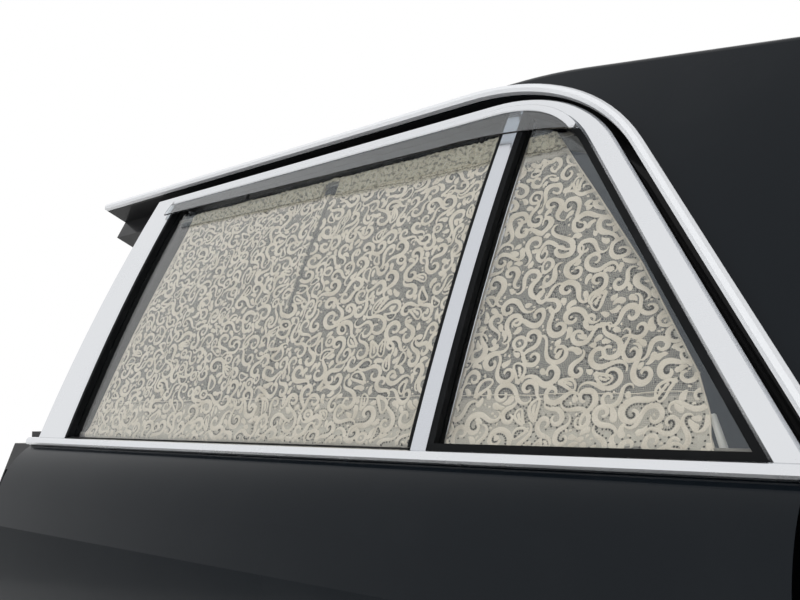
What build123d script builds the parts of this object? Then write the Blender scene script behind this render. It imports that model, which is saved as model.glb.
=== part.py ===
"""Rear side door of a hearse, with lace curtains, hung in the body frame around it.

X runs rearwards, Y inboard and Z up, in millimetres. The origin is the middle of the sill's underside.
"""
from collections import namedtuple
from math import atan2, cos, degrees, radians, sin, sqrt
import os

from build123d import *

os.makedirs("parts", exist_ok=True)

# Door
door_front = -545.0
door_rear = 540.0
door_bottom = 98.0
waist_z = 738.0
belt_top = 750.0
skin_thickness = 1.2
sheet = 2.0
inner_y = -42.0
lower_corner_radius = 45.0
shut_gap = 6.0
outline_overlap = 10.0
pan_front = -512.0
pan_rear = 528.0

# Body frame round the door
frame_front = -655.0
frame_rear = 600.0
flange_y = -31.0
cabin_y = 22.0
box_wall = 3.0
pillar_outer_y = -85.0
pillar_rear_face = -556.0
head_drop = 78.0
pillar_cap = 40.0
head_setback = 27.0
head_slant = 20.0
lock_pillar_face = door_rear + shut_gap
sill_top = door_bottom - shut_gap

# Section of the lower side: how far out and how high each point of the skin lies
SkinPoint = namedtuple("SkinPoint", "y z")
skin_waist = SkinPoint(-85.0, waist_z)
skin_shoulder = SkinPoint(-112.5, 712.0)
skin_shoulder_foot = SkinPoint(-129.0, 676.0)
skin_crease = SkinPoint(-137.0, 628.0)
skin_widest = SkinPoint(-141.0, 420.0)
skin_foot = SkinPoint(-113.4, sill_top)

# Section of the window side: a shallow arc that leans inboard
side_base_y = -82.0
side_lean = radians(22.0)
side_radius = 2600.0
window_top = 407.0

# Lines of the window on the side: where each crosses the belt and how far it leans per millimetre up
Lean = namedtuple("Lean", "at_belt per_up")
door_front_line = Lean(-530.0, 0.15)
pane_front_line = Lean(-457.0, 0.108)
bar_front_line = Lean(192.0, 0.064)
slope_at_belt, slope_at_top = 543.0, 300.0
rear_slope_line = Lean(slope_at_belt, (slope_at_top - slope_at_belt) / window_top)
bar_width = 18.5
top_trim_width = 15.0
slope_trim_width = 23.0
outer_corner_radius = 190.0
inner_corner_radius = 140.0

side_low = -80.0
side_high = 520.0
skirt_low = -60.0

# Depths below the bright trim's face
trim_depth = 5.0
trim_bevel = 2.6
bar_edge = 1.6
drip_bevel = 3.2
bar_face_depth = 0.6
moulding_outer_y = -93.0
moulding_inner_y = -83.5
frame_depth = 34.0
glass_thickness = 4.0
main_glass_depth = 12.0
quarter_glass_depth = 10.0
run_face_depth = 3.0
run_depth = 22.0
run_lip = 5.0
run_bite = 4.0
quarter_lip = 7.0
quarter_bite = 5.0
curtain_depth = 25.0

# Shut band, drip moulding and outer panel round the window
shut_band = 9.5
top_band = 20.0
opening_corner_radius = 262.0
drip_width = 11.0
drip_rise = 3.0
panel_depth = 6.0
seal_width = 9.0
seal_clear = 0.8
seal_inset = 2.0
rail_depth = 80.0
rail_face_depth = frame_depth + flange_y - inner_y
rail_low = window_top - seal_inset - seal_width - 3.0
rail_high = window_top + 46.0
seal_front = pan_front + 4.0
seal_rear = pan_rear - 4.0
seal_bottom = door_bottom + 6.0
front_flange_edge = seal_front + seal_width + 4.0
rear_flange_edge = seal_rear - seal_width - 4.0
sill_step_top = seal_bottom + seal_width + 5.0
flange_top = belt_top + 6.0

# Hinges
hinge_x = -534.0
hinge_y = -104.0
hinge_heights = (262.0, 566.0)
knuckle_radius = 8.5
knuckle_height = 18.0
knuckle_gap = 0.4
pin_radius = 4.0
pin_clear = 0.06
leaf_thickness = 5.0
leaf_height = 62.0

# Curtains and their rods
rod_radius = 2.5
rod_clear = 0.4
hem_wall = 2.0
curtain_thickness = 3.0
rod_end_gap = 0.3
main_rod_drop = 22.0
quarter_rod_drop = 13.0
bottom_rod_up = 13.0
main_top_rod_up = window_top - top_trim_width - main_rod_drop
quarter_top_rod_up = main_top_rod_up - quarter_rod_drop
curtain_heading = 7.0
curtain_foot = 6.5
curtain_side_clear = 8.0
curtain_front_line = Lean(-438.0, 0.169)

half_length = 700.0
outboard_limit = -200.0
parts_made = []


def finish(builder, name):
    """Name a finished sub-part and write it out."""
    builder.part.label = name
    export_step(builder.part, f"parts/{name}.step")
    parts_made.append(name)


# Window side: points along the arc, by distance up from the belt and outward from the trim's face
middle_up = window_top / 2
arc_centre_y = side_base_y + middle_up * sin(side_lean) + sqrt(side_radius**2 - middle_up**2) * cos(side_lean)
arc_centre_z = belt_top + middle_up * cos(side_lean) - sqrt(side_radius**2 - middle_up**2) * sin(side_lean)


def side_point(up, out):
    """Point of the window side in Y and Z."""
    turn = side_lean + (up - middle_up) / side_radius
    reach = side_radius + out
    return (arc_centre_y - reach * cos(turn), arc_centre_z + reach * sin(turn))


def side_y(z, out):
    """Y of the window side at a height."""
    return arc_centre_y - sqrt((side_radius + out) ** 2 - (z - arc_centre_z) ** 2)


def along(line, up, shift=0.0):
    """X of a leaning line at a distance up from the belt."""
    return line.at_belt + line.per_up * up + shift


window_plane = Plane(
    origin=(0, side_base_y, belt_top), x_dir=(1, 0, 0), z_dir=(0, -cos(side_lean), sin(side_lean))
)


def side_slab(out_low, out_high, low=side_low, high=side_high):
    """Curved slab of the window side between two offsets of the trim's face."""
    middle = (low + high) / 2
    with BuildSketch(Plane.YZ) as section:
        with BuildLine():
            ThreePointArc(side_point(low, out_high), side_point(middle, out_high), side_point(high, out_high))
            Line(side_point(high, out_high), side_point(high, out_low))
            ThreePointArc(side_point(high, out_low), side_point(middle, out_low), side_point(low, out_low))
            Line(side_point(low, out_low), side_point(low, out_high))
        make_face()
    extrude(section.sketch, amount=half_length, both=True)


def trim_edges(builder, least_z):
    """Edges of a trim's outer face that lie above a height."""
    face = builder.faces().filter_by(GeomType.CYLINDER).sort_by(Axis.Y)[0]
    return face.edges().filter_by(lambda edge: edge.center().Z > least_z)


def leaning_face(front, rear, low, high, mode=Mode.ADD):
    """Face between two leaning lines and two heights."""
    with BuildLine() as border:
        Polyline(
            (front.at_belt + front.per_up * low, low), (rear.at_belt + rear.per_up * low, low),
            (rear.at_belt + rear.per_up * high, high), (front.at_belt + front.per_up * high, high),
            close=True,
        )
    make_face(border.edges(), mode=mode)


def shifted(line, shift):
    """The same line moved square to itself."""
    return Lean(line.at_belt + shift * sqrt(1 + line.per_up**2), line.per_up)


def window_face(front, slope, top, corner_radius, low=skirt_low, mode=Mode.ADD):
    """Face of a window outline with its rounded rear top corner."""
    reach = along(slope, top)
    turn = atan2(1.0, -slope.per_up)
    tangent = corner_radius * (1 - cos(turn)) / sin(turn)
    slope_length = sqrt(1 + slope.per_up**2)
    start = (reach - tangent, top)
    end_up = top - tangent / slope_length
    end = (along(slope, end_up), end_up)
    centre = (start[0], top - corner_radius)
    half = turn / 2
    middle = (centre[0] + corner_radius * sin(half), centre[1] + corner_radius * cos(half))
    with BuildLine() as border:
        Line((along(front, low), low), (along(front, top), top))
        Line((along(front, top), top), start)
        ThreePointArc(start, middle, end)
        Line(end, (along(slope, low), low))
        Line((along(slope, low), low), (along(front, low), low))
    make_face(border.edges(), mode=mode)


def outer_window(grow, front_grow=0.0, top_grow=0.0, mode=Mode.ADD):
    """The door's window frame outline, moved outward."""
    window_face(
        shifted(door_front_line, -grow - front_grow), shifted(rear_slope_line, grow),
        window_top + grow + top_grow, outer_corner_radius + grow, mode=mode,
    )


def pane_window(shrink, mode=Mode.ADD):
    """The opening inside the bright trim, moved inward."""
    window_face(
        shifted(pane_front_line, shrink), shifted(rear_slope_line, -slope_trim_width - shrink),
        window_top - top_trim_width - shrink, inner_corner_radius - shrink, mode=mode,
    )


bar_rear_line = Lean(bar_front_line.at_belt + bar_width, bar_front_line.per_up)
far_front = Lean(-half_length, 0.0)
far_rear = Lean(half_length, 0.0)


def side_profile(shift, inboard=inner_y, low=door_bottom, high=waist_z, mode=Mode.ADD):
    """Closed section of the lower side, its skin moved inboard by the shift."""
    with BuildLine() as border:
        ThreePointArc(
            (skin_waist.y + shift, skin_waist.z), (skin_shoulder.y + shift, skin_shoulder.z),
            (skin_shoulder_foot.y + shift, skin_shoulder_foot.z),
        )
        Line((skin_shoulder_foot.y + shift, skin_shoulder_foot.z), (skin_crease.y + shift, skin_crease.z))
        ThreePointArc(
            (skin_crease.y + shift, skin_crease.z), (skin_widest.y + shift, skin_widest.z),
            (skin_foot.y + shift, skin_foot.z),
        )
        Line((skin_foot.y + shift, skin_foot.z), (inboard, skin_foot.z))
        Line((inboard, skin_foot.z), (inboard, skin_waist.z))
        Line((inboard, skin_waist.z), (skin_waist.y + shift, skin_waist.z))
    make_face(border.edges(), mode=mode)


def box(x_low, x_high, y_low, y_high, z_low, z_high, mode=Mode.ADD):
    """Block between two values on each axis."""
    with Locations(((x_low + x_high) / 2, (y_low + y_high) / 2, (z_low + z_high) / 2)):
        Box(x_high - x_low, y_high - y_low, z_high - z_low, mode=mode)


# Door skin
with BuildPart() as door_skin:
    with BuildSketch(Plane.YZ.offset(door_front - outline_overlap)):
        side_profile(0.0)
        side_profile(skin_thickness, mode=Mode.SUBTRACT)
    extrude(amount=door_rear - door_front + 2 * outline_overlap)
    with BuildSketch(Plane.XZ):
        with Locations(((door_front + door_rear) / 2, (door_bottom + waist_z) / 2 + lower_corner_radius)):
            RectangleRounded(door_rear - door_front, waist_z - door_bottom + 2 * lower_corner_radius,
                             lower_corner_radius)
    extrude(amount=300, both=True, mode=Mode.INTERSECT)
finish(door_skin, "door_skin")

# Door inner pan with its top ledge and the slot the glass drops through
slot_outer_y = side_y(belt_top, -main_glass_depth) - 6.0
slot_inner_y = slot_outer_y + 16.0
AccessHole = namedtuple("AccessHole", "middle_x width")
access_holes = (AccessHole(-280.0, 260.0), AccessHole(220.0, 420.0))
hole_low, hole_high = 190.0, 360.0
hole_corner = 30.0
with BuildPart() as door_inner:
    with BuildSketch(Plane.YZ.offset(pan_front)):
        side_profile(skin_thickness)
    extrude(amount=pan_rear - pan_front)
    box(door_front + 2, door_rear - 2, skin_waist.y + skin_thickness, inner_y, waist_z - sheet, waist_z)
    box(pan_front + sheet, pan_rear - sheet, outboard_limit, inner_y - sheet,
        door_bottom + skin_thickness + sheet, waist_z - sheet, mode=Mode.SUBTRACT)
    box(pane_front_line.at_belt - 4, bar_front_line.at_belt + 2, slot_outer_y, slot_inner_y,
        waist_z - sheet, waist_z, mode=Mode.SUBTRACT)
    with BuildSketch(Plane.XZ):
        with Locations(((door_front + door_rear) / 2, (door_bottom + waist_z) / 2 + lower_corner_radius)):
            RectangleRounded(door_rear - door_front - 2 * skin_thickness,
                             waist_z - door_bottom + 2 * lower_corner_radius - 2 * skin_thickness,
                             lower_corner_radius - skin_thickness)
    extrude(amount=300, both=True, mode=Mode.INTERSECT)
    for hole in access_holes:
        with BuildSketch(Plane.XZ.offset(-inner_y)) as hole_face:
            with Locations((hole.middle_x, (hole_low + hole_high) / 2)):
                RectangleRounded(hole.width, hole_high - hole_low, hole_corner)
        extrude(hole_face.sketch, amount=sheet, mode=Mode.SUBTRACT)
finish(door_inner, "door_inner")

# Window frame, standing on the ledge
with BuildPart() as window_frame:
    side_slab(-frame_depth, -trim_depth)
    with BuildSketch(window_plane):
        outer_window(-1.5)
        pane_window(0.0, mode=Mode.SUBTRACT)
    extrude(amount=120, both=True, mode=Mode.INTERSECT)
    split(bisect_by=Plane.XY.offset(waist_z), keep=Keep.TOP)
finish(window_frame, "window_frame")

# Bright trim over the window frame
with BuildPart() as frame_trim:
    side_slab(-trim_depth, 0.0)
    with BuildSketch(window_plane):
        outer_window(0.0)
        pane_window(0.0, mode=Mode.SUBTRACT)
    extrude(amount=120, both=True, mode=Mode.INTERSECT)
    split(bisect_by=Plane.XY.offset(belt_top), keep=Keep.TOP)
    chamfer(trim_edges(frame_trim, belt_top + 1), trim_bevel)
finish(frame_trim, "frame_trim")

# Division bar between the panes
with BuildPart() as division_bar:
    side_slab(-frame_depth, -bar_face_depth)
    with BuildSketch(window_plane):
        leaning_face(bar_front_line, bar_rear_line, skirt_low, window_top)
        pane_window(0.0, mode=Mode.INTERSECT)
    extrude(amount=120, both=True, mode=Mode.INTERSECT)
    split(bisect_by=Plane.XY.offset(waist_z), keep=Keep.TOP)
    box(0, half_length, outboard_limit, moulding_inner_y + 1.5, waist_z, belt_top, mode=Mode.SUBTRACT)
    chamfer(trim_edges(division_bar, belt_top + 1).sort_by(SortBy.LENGTH)[-2:], bar_edge)
finish(division_bar, "division_bar")

# Main glass, in one piece down into the door
with BuildPart() as main_glass:
    side_slab(-main_glass_depth - glass_thickness, -main_glass_depth)
    with BuildSketch(window_plane):
        pane_window(run_lip - run_bite)
        leaning_face(far_front, shifted(bar_front_line, run_bite - run_lip), skirt_low, window_top,
                     mode=Mode.INTERSECT)
    extrude(amount=120, both=True, mode=Mode.INTERSECT)
    split(bisect_by=Plane.XY.offset(waist_z - 22), keep=Keep.TOP)
finish(main_glass, "main_glass")

# Rubber channel round the main glass, with a groove a little larger than the glass
groove_clear = 0.05
with BuildPart() as main_groove:
    side_slab(-main_glass_depth - glass_thickness - groove_clear, -main_glass_depth + groove_clear)
    with BuildSketch(window_plane):
        pane_window(run_lip - run_bite - groove_clear)
        leaning_face(far_front, shifted(bar_front_line, run_bite - run_lip + groove_clear), skirt_low,
                     window_top, mode=Mode.INTERSECT)
    extrude(amount=120, both=True, mode=Mode.INTERSECT)

with BuildPart() as glass_run:
    side_slab(-run_depth, -run_face_depth)
    with BuildSketch(window_plane):
        pane_window(0.0)
        leaning_face(far_front, bar_front_line, skirt_low, window_top, mode=Mode.INTERSECT)
    extrude(amount=120, both=True, mode=Mode.INTERSECT)
    with BuildSketch(window_plane):
        pane_window(run_lip)
        leaning_face(far_front, shifted(bar_front_line, -run_lip), skirt_low, window_top, mode=Mode.INTERSECT)
    extrude(amount=120, both=True, mode=Mode.SUBTRACT)
    add(main_groove.part, mode=Mode.SUBTRACT)
    split(bisect_by=Plane.XY.offset(belt_top + 2), keep=Keep.TOP)
finish(glass_run, "glass_run")

# Quarter glass and the rubber round it
with BuildPart() as quarter_glass:
    side_slab(-quarter_glass_depth - glass_thickness, -quarter_glass_depth)
    with BuildSketch(window_plane):
        pane_window(quarter_lip - quarter_bite)
        leaning_face(shifted(bar_rear_line, quarter_lip - quarter_bite), far_rear, skirt_low, window_top,
                     mode=Mode.INTERSECT)
    extrude(amount=120, both=True, mode=Mode.INTERSECT)
    split(bisect_by=Plane.XY.offset(belt_top + 4), keep=Keep.TOP)
finish(quarter_glass, "quarter_glass")

with BuildPart() as quarter_seal:
    side_slab(-quarter_glass_depth - glass_thickness - 5, -3.0)
    with BuildSketch(window_plane):
        pane_window(0.0)
        leaning_face(bar_rear_line, far_rear, skirt_low, window_top, mode=Mode.INTERSECT)
    extrude(amount=120, both=True, mode=Mode.INTERSECT)
    split(bisect_by=Plane.XY.offset(waist_z), keep=Keep.TOP)
    with BuildSketch(window_plane):
        pane_window(quarter_lip)
        leaning_face(shifted(bar_rear_line, quarter_lip), far_rear, 8, window_top, mode=Mode.INTERSECT)
    extrude(amount=120, both=True, mode=Mode.SUBTRACT)
    add(quarter_glass.part, mode=Mode.SUBTRACT)
finish(quarter_seal, "quarter_seal")

# Belt moulding along the ledge's outer edge
with BuildPart() as belt_moulding:
    with BuildSketch(Plane.YZ.offset(door_front)):
        with BuildLine():
            Polyline(
                (moulding_inner_y, waist_z), (moulding_outer_y + 6.5, waist_z),
                (moulding_outer_y + 5.5, belt_top - 11.0), (moulding_outer_y + 1.5, belt_top - 10.2),
                (moulding_outer_y, belt_top - 7.5), (moulding_outer_y + 0.8, belt_top - 3.0),
                (moulding_outer_y + 3.5, belt_top - 0.4), (moulding_inner_y, belt_top), close=True,
            )
        make_face()
    extrude(amount=door_rear - door_front)
finish(belt_moulding, "belt_moulding")

# Rubber wiper between the moulding and the glass
with BuildPart() as belt_wiper:
    box(along(pane_front_line, 0, run_lip + 1), along(bar_front_line, 0, -run_lip - 1), moulding_inner_y,
        side_y(waist_z + 8, -main_glass_depth) - 0.4, waist_z, belt_top + 1.5)
    with BuildSketch(Plane.YZ):
        with BuildLine():
            Polyline((side_y(waist_z, -main_glass_depth) - 0.4, waist_z), (moulding_inner_y, waist_z),
                     (moulding_inner_y, belt_top - 1),
                     (side_y(belt_top, -main_glass_depth) - 2.5, belt_top + 1.5),
                     (side_y(belt_top, -main_glass_depth) - 0.4, belt_top + 1.5), close=True)
        make_face()
    extrude(amount=half_length, both=True, mode=Mode.INTERSECT)
finish(belt_wiper, "belt_wiper")

# Rain deflector, a clear strip that stands out from its seat between the trim's inner edge and the run
deflector_foot = window_top - top_trim_width
deflector_drop = 66.0
deflector_bend = 8.0
deflector_foot_width = 3.0
deflector_sheet = 2.2
deflector_lip = deflector_foot - deflector_drop
deflector_seat = -run_face_depth + 0.1
deflector_end_clear = 0.4
bend_out, lip_out = 2.4, 9.5

# Free edge of the deflector: place along the side and up from the belt, straight, then bent round the corner
LipPoint = namedtuple("LipPoint", "x up")
lip_front, lip_turn = LipPoint(-400.0, deflector_foot - 27.5), LipPoint(130.0, deflector_foot - 38.0)
lip_bend, lip_rear = LipPoint(228.0, deflector_foot - 43.5), LipPoint(322.0, deflector_foot - 64.0)
with BuildPart() as bar_passage:
    side_slab(-frame_depth, -bar_face_depth + 0.1)
    with BuildSketch(window_plane):
        leaning_face(shifted(bar_front_line, -0.3), shifted(bar_rear_line, 0.3), skirt_low, window_top)
    extrude(amount=120, both=True, mode=Mode.INTERSECT)

with BuildPart() as rain_deflector:
    with BuildSketch(Plane.YZ):
        with BuildLine():
            Polyline(
                side_point(deflector_foot + deflector_foot_width, deflector_seat),
                side_point(deflector_foot + deflector_foot_width, bend_out),
                side_point(deflector_foot - deflector_bend, bend_out + deflector_sheet),
                side_point(deflector_lip, lip_out + deflector_sheet), side_point(deflector_lip, lip_out),
                side_point(deflector_foot - deflector_bend, bend_out),
                side_point(deflector_foot - deflector_foot_width, deflector_seat), close=True,
            )
        make_face()
    extrude(amount=half_length, both=True)
    with BuildSketch(window_plane):
        window_face(
            shifted(pane_front_line, deflector_end_clear),
            shifted(rear_slope_line, -slope_trim_width - deflector_end_clear),
            deflector_foot, inner_corner_radius,
        )
        with BuildLine() as free_edge:
            Line((-half_length, lip_front.up), lip_front)
            Line(lip_front, lip_turn)
            ThreePointArc(lip_turn, lip_bend, lip_rear)
            Line(lip_rear, (half_length, lip_rear.up))
            Line((half_length, lip_rear.up), (half_length, skirt_low))
            Line((half_length, skirt_low), (-half_length, skirt_low))
            Line((-half_length, skirt_low), (-half_length, lip_front.up))
        make_face(free_edge.edges(), mode=Mode.SUBTRACT)
    extrude(amount=120, both=True, mode=Mode.INTERSECT)
    add(bar_passage.part, mode=Mode.SUBTRACT)
finish(rain_deflector, "rain_deflector")

# Curtain rods, held between the frame's legs and the bar
def pane_rear_edge(up):
    """X of the pane opening's rear edge, along the slope or round the corner."""
    slope = shifted(rear_slope_line, -slope_trim_width)
    pane_top = window_top - top_trim_width
    turn = atan2(1.0, -slope.per_up)
    corner_x = along(slope, pane_top) - inner_corner_radius * (1 - cos(turn)) / sin(turn)
    rise = up - (pane_top - inner_corner_radius)
    if rise < inner_corner_radius * cos(turn):
        return along(slope, up)
    return corner_x + sqrt(inner_corner_radius**2 - rise**2)


Rod = namedtuple("Rod", "name up front rear")
rods = (
    Rod("main_top_rod", main_top_rod_up, along(pane_front_line, main_top_rod_up + rod_radius),
        along(bar_front_line, main_top_rod_up - rod_radius)),
    Rod("main_bottom_rod", bottom_rod_up, along(pane_front_line, bottom_rod_up + rod_radius),
        along(bar_front_line, bottom_rod_up - rod_radius)),
    Rod("quarter_top_rod", quarter_top_rod_up, along(bar_rear_line, quarter_top_rod_up + rod_radius),
        pane_rear_edge(quarter_top_rod_up + rod_radius)),
    Rod("quarter_bottom_rod", bottom_rod_up, along(bar_rear_line, bottom_rod_up + rod_radius),
        pane_rear_edge(bottom_rod_up + 2 * rod_radius)),
)


def rod_plane(x, up):
    """Plane square to a rod at a place along it."""
    centre_y, centre_z = side_point(up, -curtain_depth)
    return Plane(origin=(x, centre_y, centre_z), x_dir=(0, 1, 0), z_dir=(1, 0, 0))


for rod_row in rods:
    with BuildPart() as rod:
        with BuildSketch(rod_plane(rod_row.front + rod_end_gap, rod_row.up)):
            Circle(rod_radius)
        extrude(amount=rod_row.rear - rod_row.front - 2 * rod_end_gap)
    finish(rod, rod_row.name)

# Outline of each curtain as it hangs: place along the side and up from the belt
curtain_low = bottom_rod_up - curtain_foot
main_curtain_high = main_top_rod_up + curtain_heading
quarter_curtain_high = quarter_top_rod_up + curtain_heading
main_rear_line = shifted(bar_front_line, -curtain_side_clear)
quarter_front_line = shifted(bar_rear_line, curtain_side_clear)
quarter_pane_line = shifted(rear_slope_line, -slope_trim_width)

main_curtain_outline = (
    (along(curtain_front_line, curtain_low), curtain_low), (along(main_rear_line, curtain_low), curtain_low),
    (along(main_rear_line, main_curtain_high), main_curtain_high),
    (along(curtain_front_line, main_curtain_high), main_curtain_high),
)

# Loose rear edge of the quarter curtain: share of its height, and how far it stays off the pane's edge
EdgePoint = namedtuple("EdgePoint", "share off")
quarter_edge = (EdgePoint(0.0, 33.0), EdgePoint(0.1, 17.0), EdgePoint(0.26, 17.0), EdgePoint(0.5, 14.5),
                EdgePoint(0.74, 22.0), EdgePoint(0.88, 29.0), EdgePoint(1.0, 33.0))
quarter_rear_points = []
for edge_point in quarter_edge:
    edge_up = curtain_low + edge_point.share * (quarter_curtain_high - curtain_low)
    quarter_rear_points.append((along(quarter_pane_line, edge_up, -edge_point.off), edge_up))
quarter_curtain_outline = (
    (along(quarter_front_line, curtain_low), curtain_low), *quarter_rear_points,
    (along(quarter_front_line, quarter_curtain_high), quarter_curtain_high),
)


def curtain_cloth(outline, top_up):
    """Cloth slab between the rods with a hem tube round each rod."""
    side_slab(-curtain_depth - curtain_thickness / 2, -curtain_depth + curtain_thickness / 2)
    for up in (top_up, bottom_rod_up):
        with BuildSketch(rod_plane(-half_length, up)) as hem:
            Circle(rod_radius + rod_clear + hem_wall)
        extrude(hem.sketch, amount=2 * half_length)
    for up in (top_up, bottom_rod_up):
        with BuildSketch(rod_plane(-half_length, up)) as bore:
            Circle(rod_radius + rod_clear)
        extrude(bore.sketch, amount=2 * half_length, mode=Mode.SUBTRACT)
    with BuildSketch(window_plane) as cut:
        with BuildLine():
            Polyline(*outline, close=True)
        make_face()
    extrude(cut.sketch, amount=120, both=True, mode=Mode.INTERSECT)


with BuildPart() as main_curtain:
    curtain_cloth(main_curtain_outline, main_top_rod_up)
finish(main_curtain, "main_curtain")

with BuildPart() as quarter_curtain:
    curtain_cloth(quarter_curtain_outline, quarter_top_rod_up)
finish(quarter_curtain, "quarter_curtain")

# Inner trim panel, armrest, lever, crank and lock pin
trim_thickness = 8.0
trim_panel_bevel = 2.5
trim_top = 742.0
trim_front = front_flange_edge + 6.0
trim_rear = rear_flange_edge - 6.0
trim_bottom = sill_step_top + 6.0
with BuildPart() as trim_panel:
    with BuildSketch(Plane.XZ.offset(-inner_y)):
        with Locations(((trim_front + trim_rear) / 2, (trim_bottom + trim_top) / 2)):
            RectangleRounded(trim_rear - trim_front, trim_top - trim_bottom, 22)
    extrude(amount=-trim_thickness)
    chamfer(faces().sort_by(Axis.Y)[-1].edges(), trim_panel_bevel)
finish(trim_panel, "trim_panel")
trim_face_y = inner_y + trim_thickness

armrest_front, armrest_rear, armrest_top = -300.0, 230.0, 512.0
armrest_height = 82.0
armrest_depth = 62.0
armrest_end_height = 60.0
armrest_corner = 18.0
armrest_edge = 12.0
with BuildPart() as armrest:
    with BuildSketch(Plane.XZ.offset(-trim_face_y)):
        with BuildLine():
            Polyline(
                (armrest_front + 2 / 3 * armrest_end_height, armrest_top - armrest_end_height),
                (armrest_front + 160 / 82 * armrest_height, armrest_top - armrest_height),
                (armrest_rear - 40 / 82 * armrest_height, armrest_top - armrest_height),
                (armrest_rear, armrest_top - armrest_end_height), (armrest_rear, armrest_top),
                (armrest_front, armrest_top), close=True,
            )
        make_face()
        fillet(vertices(), armrest_corner)
    extrude(amount=-armrest_depth)
    fillet(faces().sort_by(Axis.Y)[-1].edges(), armrest_edge)
finish(armrest, "armrest")

handle_x, handle_z = -330.0, 566.0
with BuildPart() as inner_handle:
    with BuildSketch(Plane.XZ.offset(-trim_face_y)):
        with Locations((handle_x, handle_z)):
            RectangleRounded(120, 46, 12)
    extrude(amount=-5.0)
    box(handle_x - 48, handle_x + 48, trim_face_y + 2.5, trim_face_y + 6, handle_z - 15, handle_z + 15,
        mode=Mode.SUBTRACT)
    box(handle_x - 46, handle_x - 34, trim_face_y, trim_face_y + 20, handle_z - 10, handle_z + 10)
    box(handle_x - 46, handle_x + 40, trim_face_y + 15, trim_face_y + 20, handle_z - 10, handle_z + 10)
finish(inner_handle, "inner_handle")

crank_x, crank_z = -60.0, 318.0
crank_reach = 95.0
knob_bevel = 4.0
with BuildPart() as window_crank:
    with BuildSketch(Plane.XZ.offset(-trim_face_y)):
        with Locations((crank_x, crank_z)):
            Circle(26)
    extrude(amount=-10.0)
    with BuildSketch(Plane.XZ.offset(-trim_face_y - 10)):
        with BuildLine():
            Polyline((crank_x - 11, crank_z), (crank_x + 11, crank_z),
                     (crank_x + crank_reach * sin(0.5) + 8, crank_z + crank_reach * cos(0.5)),
                     (crank_x + crank_reach * sin(0.5) - 8, crank_z + crank_reach * cos(0.5)), close=True)
        make_face()
        with Locations((crank_x, crank_z)):
            Circle(15)
        with Locations((crank_x + crank_reach * sin(0.5), crank_z + crank_reach * cos(0.5))):
            Circle(10)
    extrude(amount=-7.0)
    with BuildSketch(Plane.XZ.offset(-trim_face_y - 17)):
        with Locations((crank_x + crank_reach * sin(0.5), crank_z + crank_reach * cos(0.5))):
            Circle(11.5)
    extrude(amount=-28.0)
    chamfer(faces().sort_by(Axis.Y)[-1].edges(), knob_bevel)
finish(window_crank, "window_crank")

pin_x, pin_y = 474.0, inner_y + trim_thickness / 2
pin_base_radius, pin_top_radius = 3.6, 2.6
pin_lean = -16.0
pin_rise = 42.0
pin_bevel = 1.0
with BuildPart() as lock_pin:
    with Locations(Location((pin_x, pin_y, trim_top), (0, pin_lean, 0))):
        Cone(2 * pin_base_radius - pin_top_radius, pin_top_radius, 2 * pin_rise)
    split(bisect_by=Plane.XY.offset(trim_top), keep=Keep.TOP)
    chamfer(edges().sort_by(Axis.Z)[-1], pin_bevel)
finish(lock_pin, "lock_pin")

# Outer pull handle with its finger gap
pull_front, pull_rear, pull_z = 352.0, 492.0, 560.0
pull_face_y = -139.5
pull_gap = 26.0
pull_depth = 10.0
pull_bevel = 3.0
button_radius = 6.5
button_inset = 18.0
button_rise = 2.5
with BuildPart() as outer_handle:
    for foot_x in (pull_front + 14, pull_rear - 14):
        with BuildSketch(Plane.XZ.offset(-pull_face_y)):
            with Locations((foot_x, pull_z)):
                RectangleRounded(28, 24, 8)
        extrude(amount=pull_gap + pull_depth / 2)
    with BuildSketch(Plane.XZ.offset(-pull_face_y + pull_gap)):
        with Locations(((pull_front + pull_rear) / 2, pull_z)):
            RectangleRounded(pull_rear - pull_front, 22, 9)
    extrude(amount=pull_depth)
    chamfer(faces().sort_by(Axis.Y)[0].edges(), pull_bevel)
    with BuildSketch(Plane.XZ.offset(-pull_face_y + pull_gap + pull_depth)):
        with Locations((pull_rear - button_inset, pull_z)):
            Circle(button_radius)
    extrude(amount=button_rise)
    with BuildSketch(Plane.YZ.offset(pull_front - 20)):
        side_profile(0.0)
    extrude(amount=pull_rear - pull_front + 40, mode=Mode.SUBTRACT)
finish(outer_handle, "outer_handle")

# Latch in the door's rear edge and striker pin on the lock pillar
latch_z = 470.0
striker_radius = 5.0
latch_mouth = 15.0
striker_y = -70.0
with BuildPart() as door_latch:
    box(pan_rear, pan_rear + 5, -98, -50, latch_z - 45, latch_z + 45)
    box(pan_rear, pan_rear + 9, -98, -50, latch_z - 30, latch_z - latch_mouth / 2)
    box(pan_rear, pan_rear + 9, -98, -50, latch_z + latch_mouth / 2, latch_z + 30)
    box(pan_rear, pan_rear + 9, striker_y - 7.5, -50, latch_z - latch_mouth / 2, latch_z + latch_mouth / 2,
        mode=Mode.SUBTRACT)
finish(door_latch, "door_latch")

with BuildPart() as latch_striker:
    with BuildSketch(Plane.YZ.offset(lock_pillar_face)):
        with Locations((striker_y, latch_z)):
            Circle(13)
    extrude(amount=-3.0)
    with BuildSketch(Plane.YZ.offset(lock_pillar_face)):
        with Locations((striker_y, latch_z)):
            Circle(striker_radius)
    extrude(amount=-13.0)
finish(latch_striker, "latch_striker")

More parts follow.
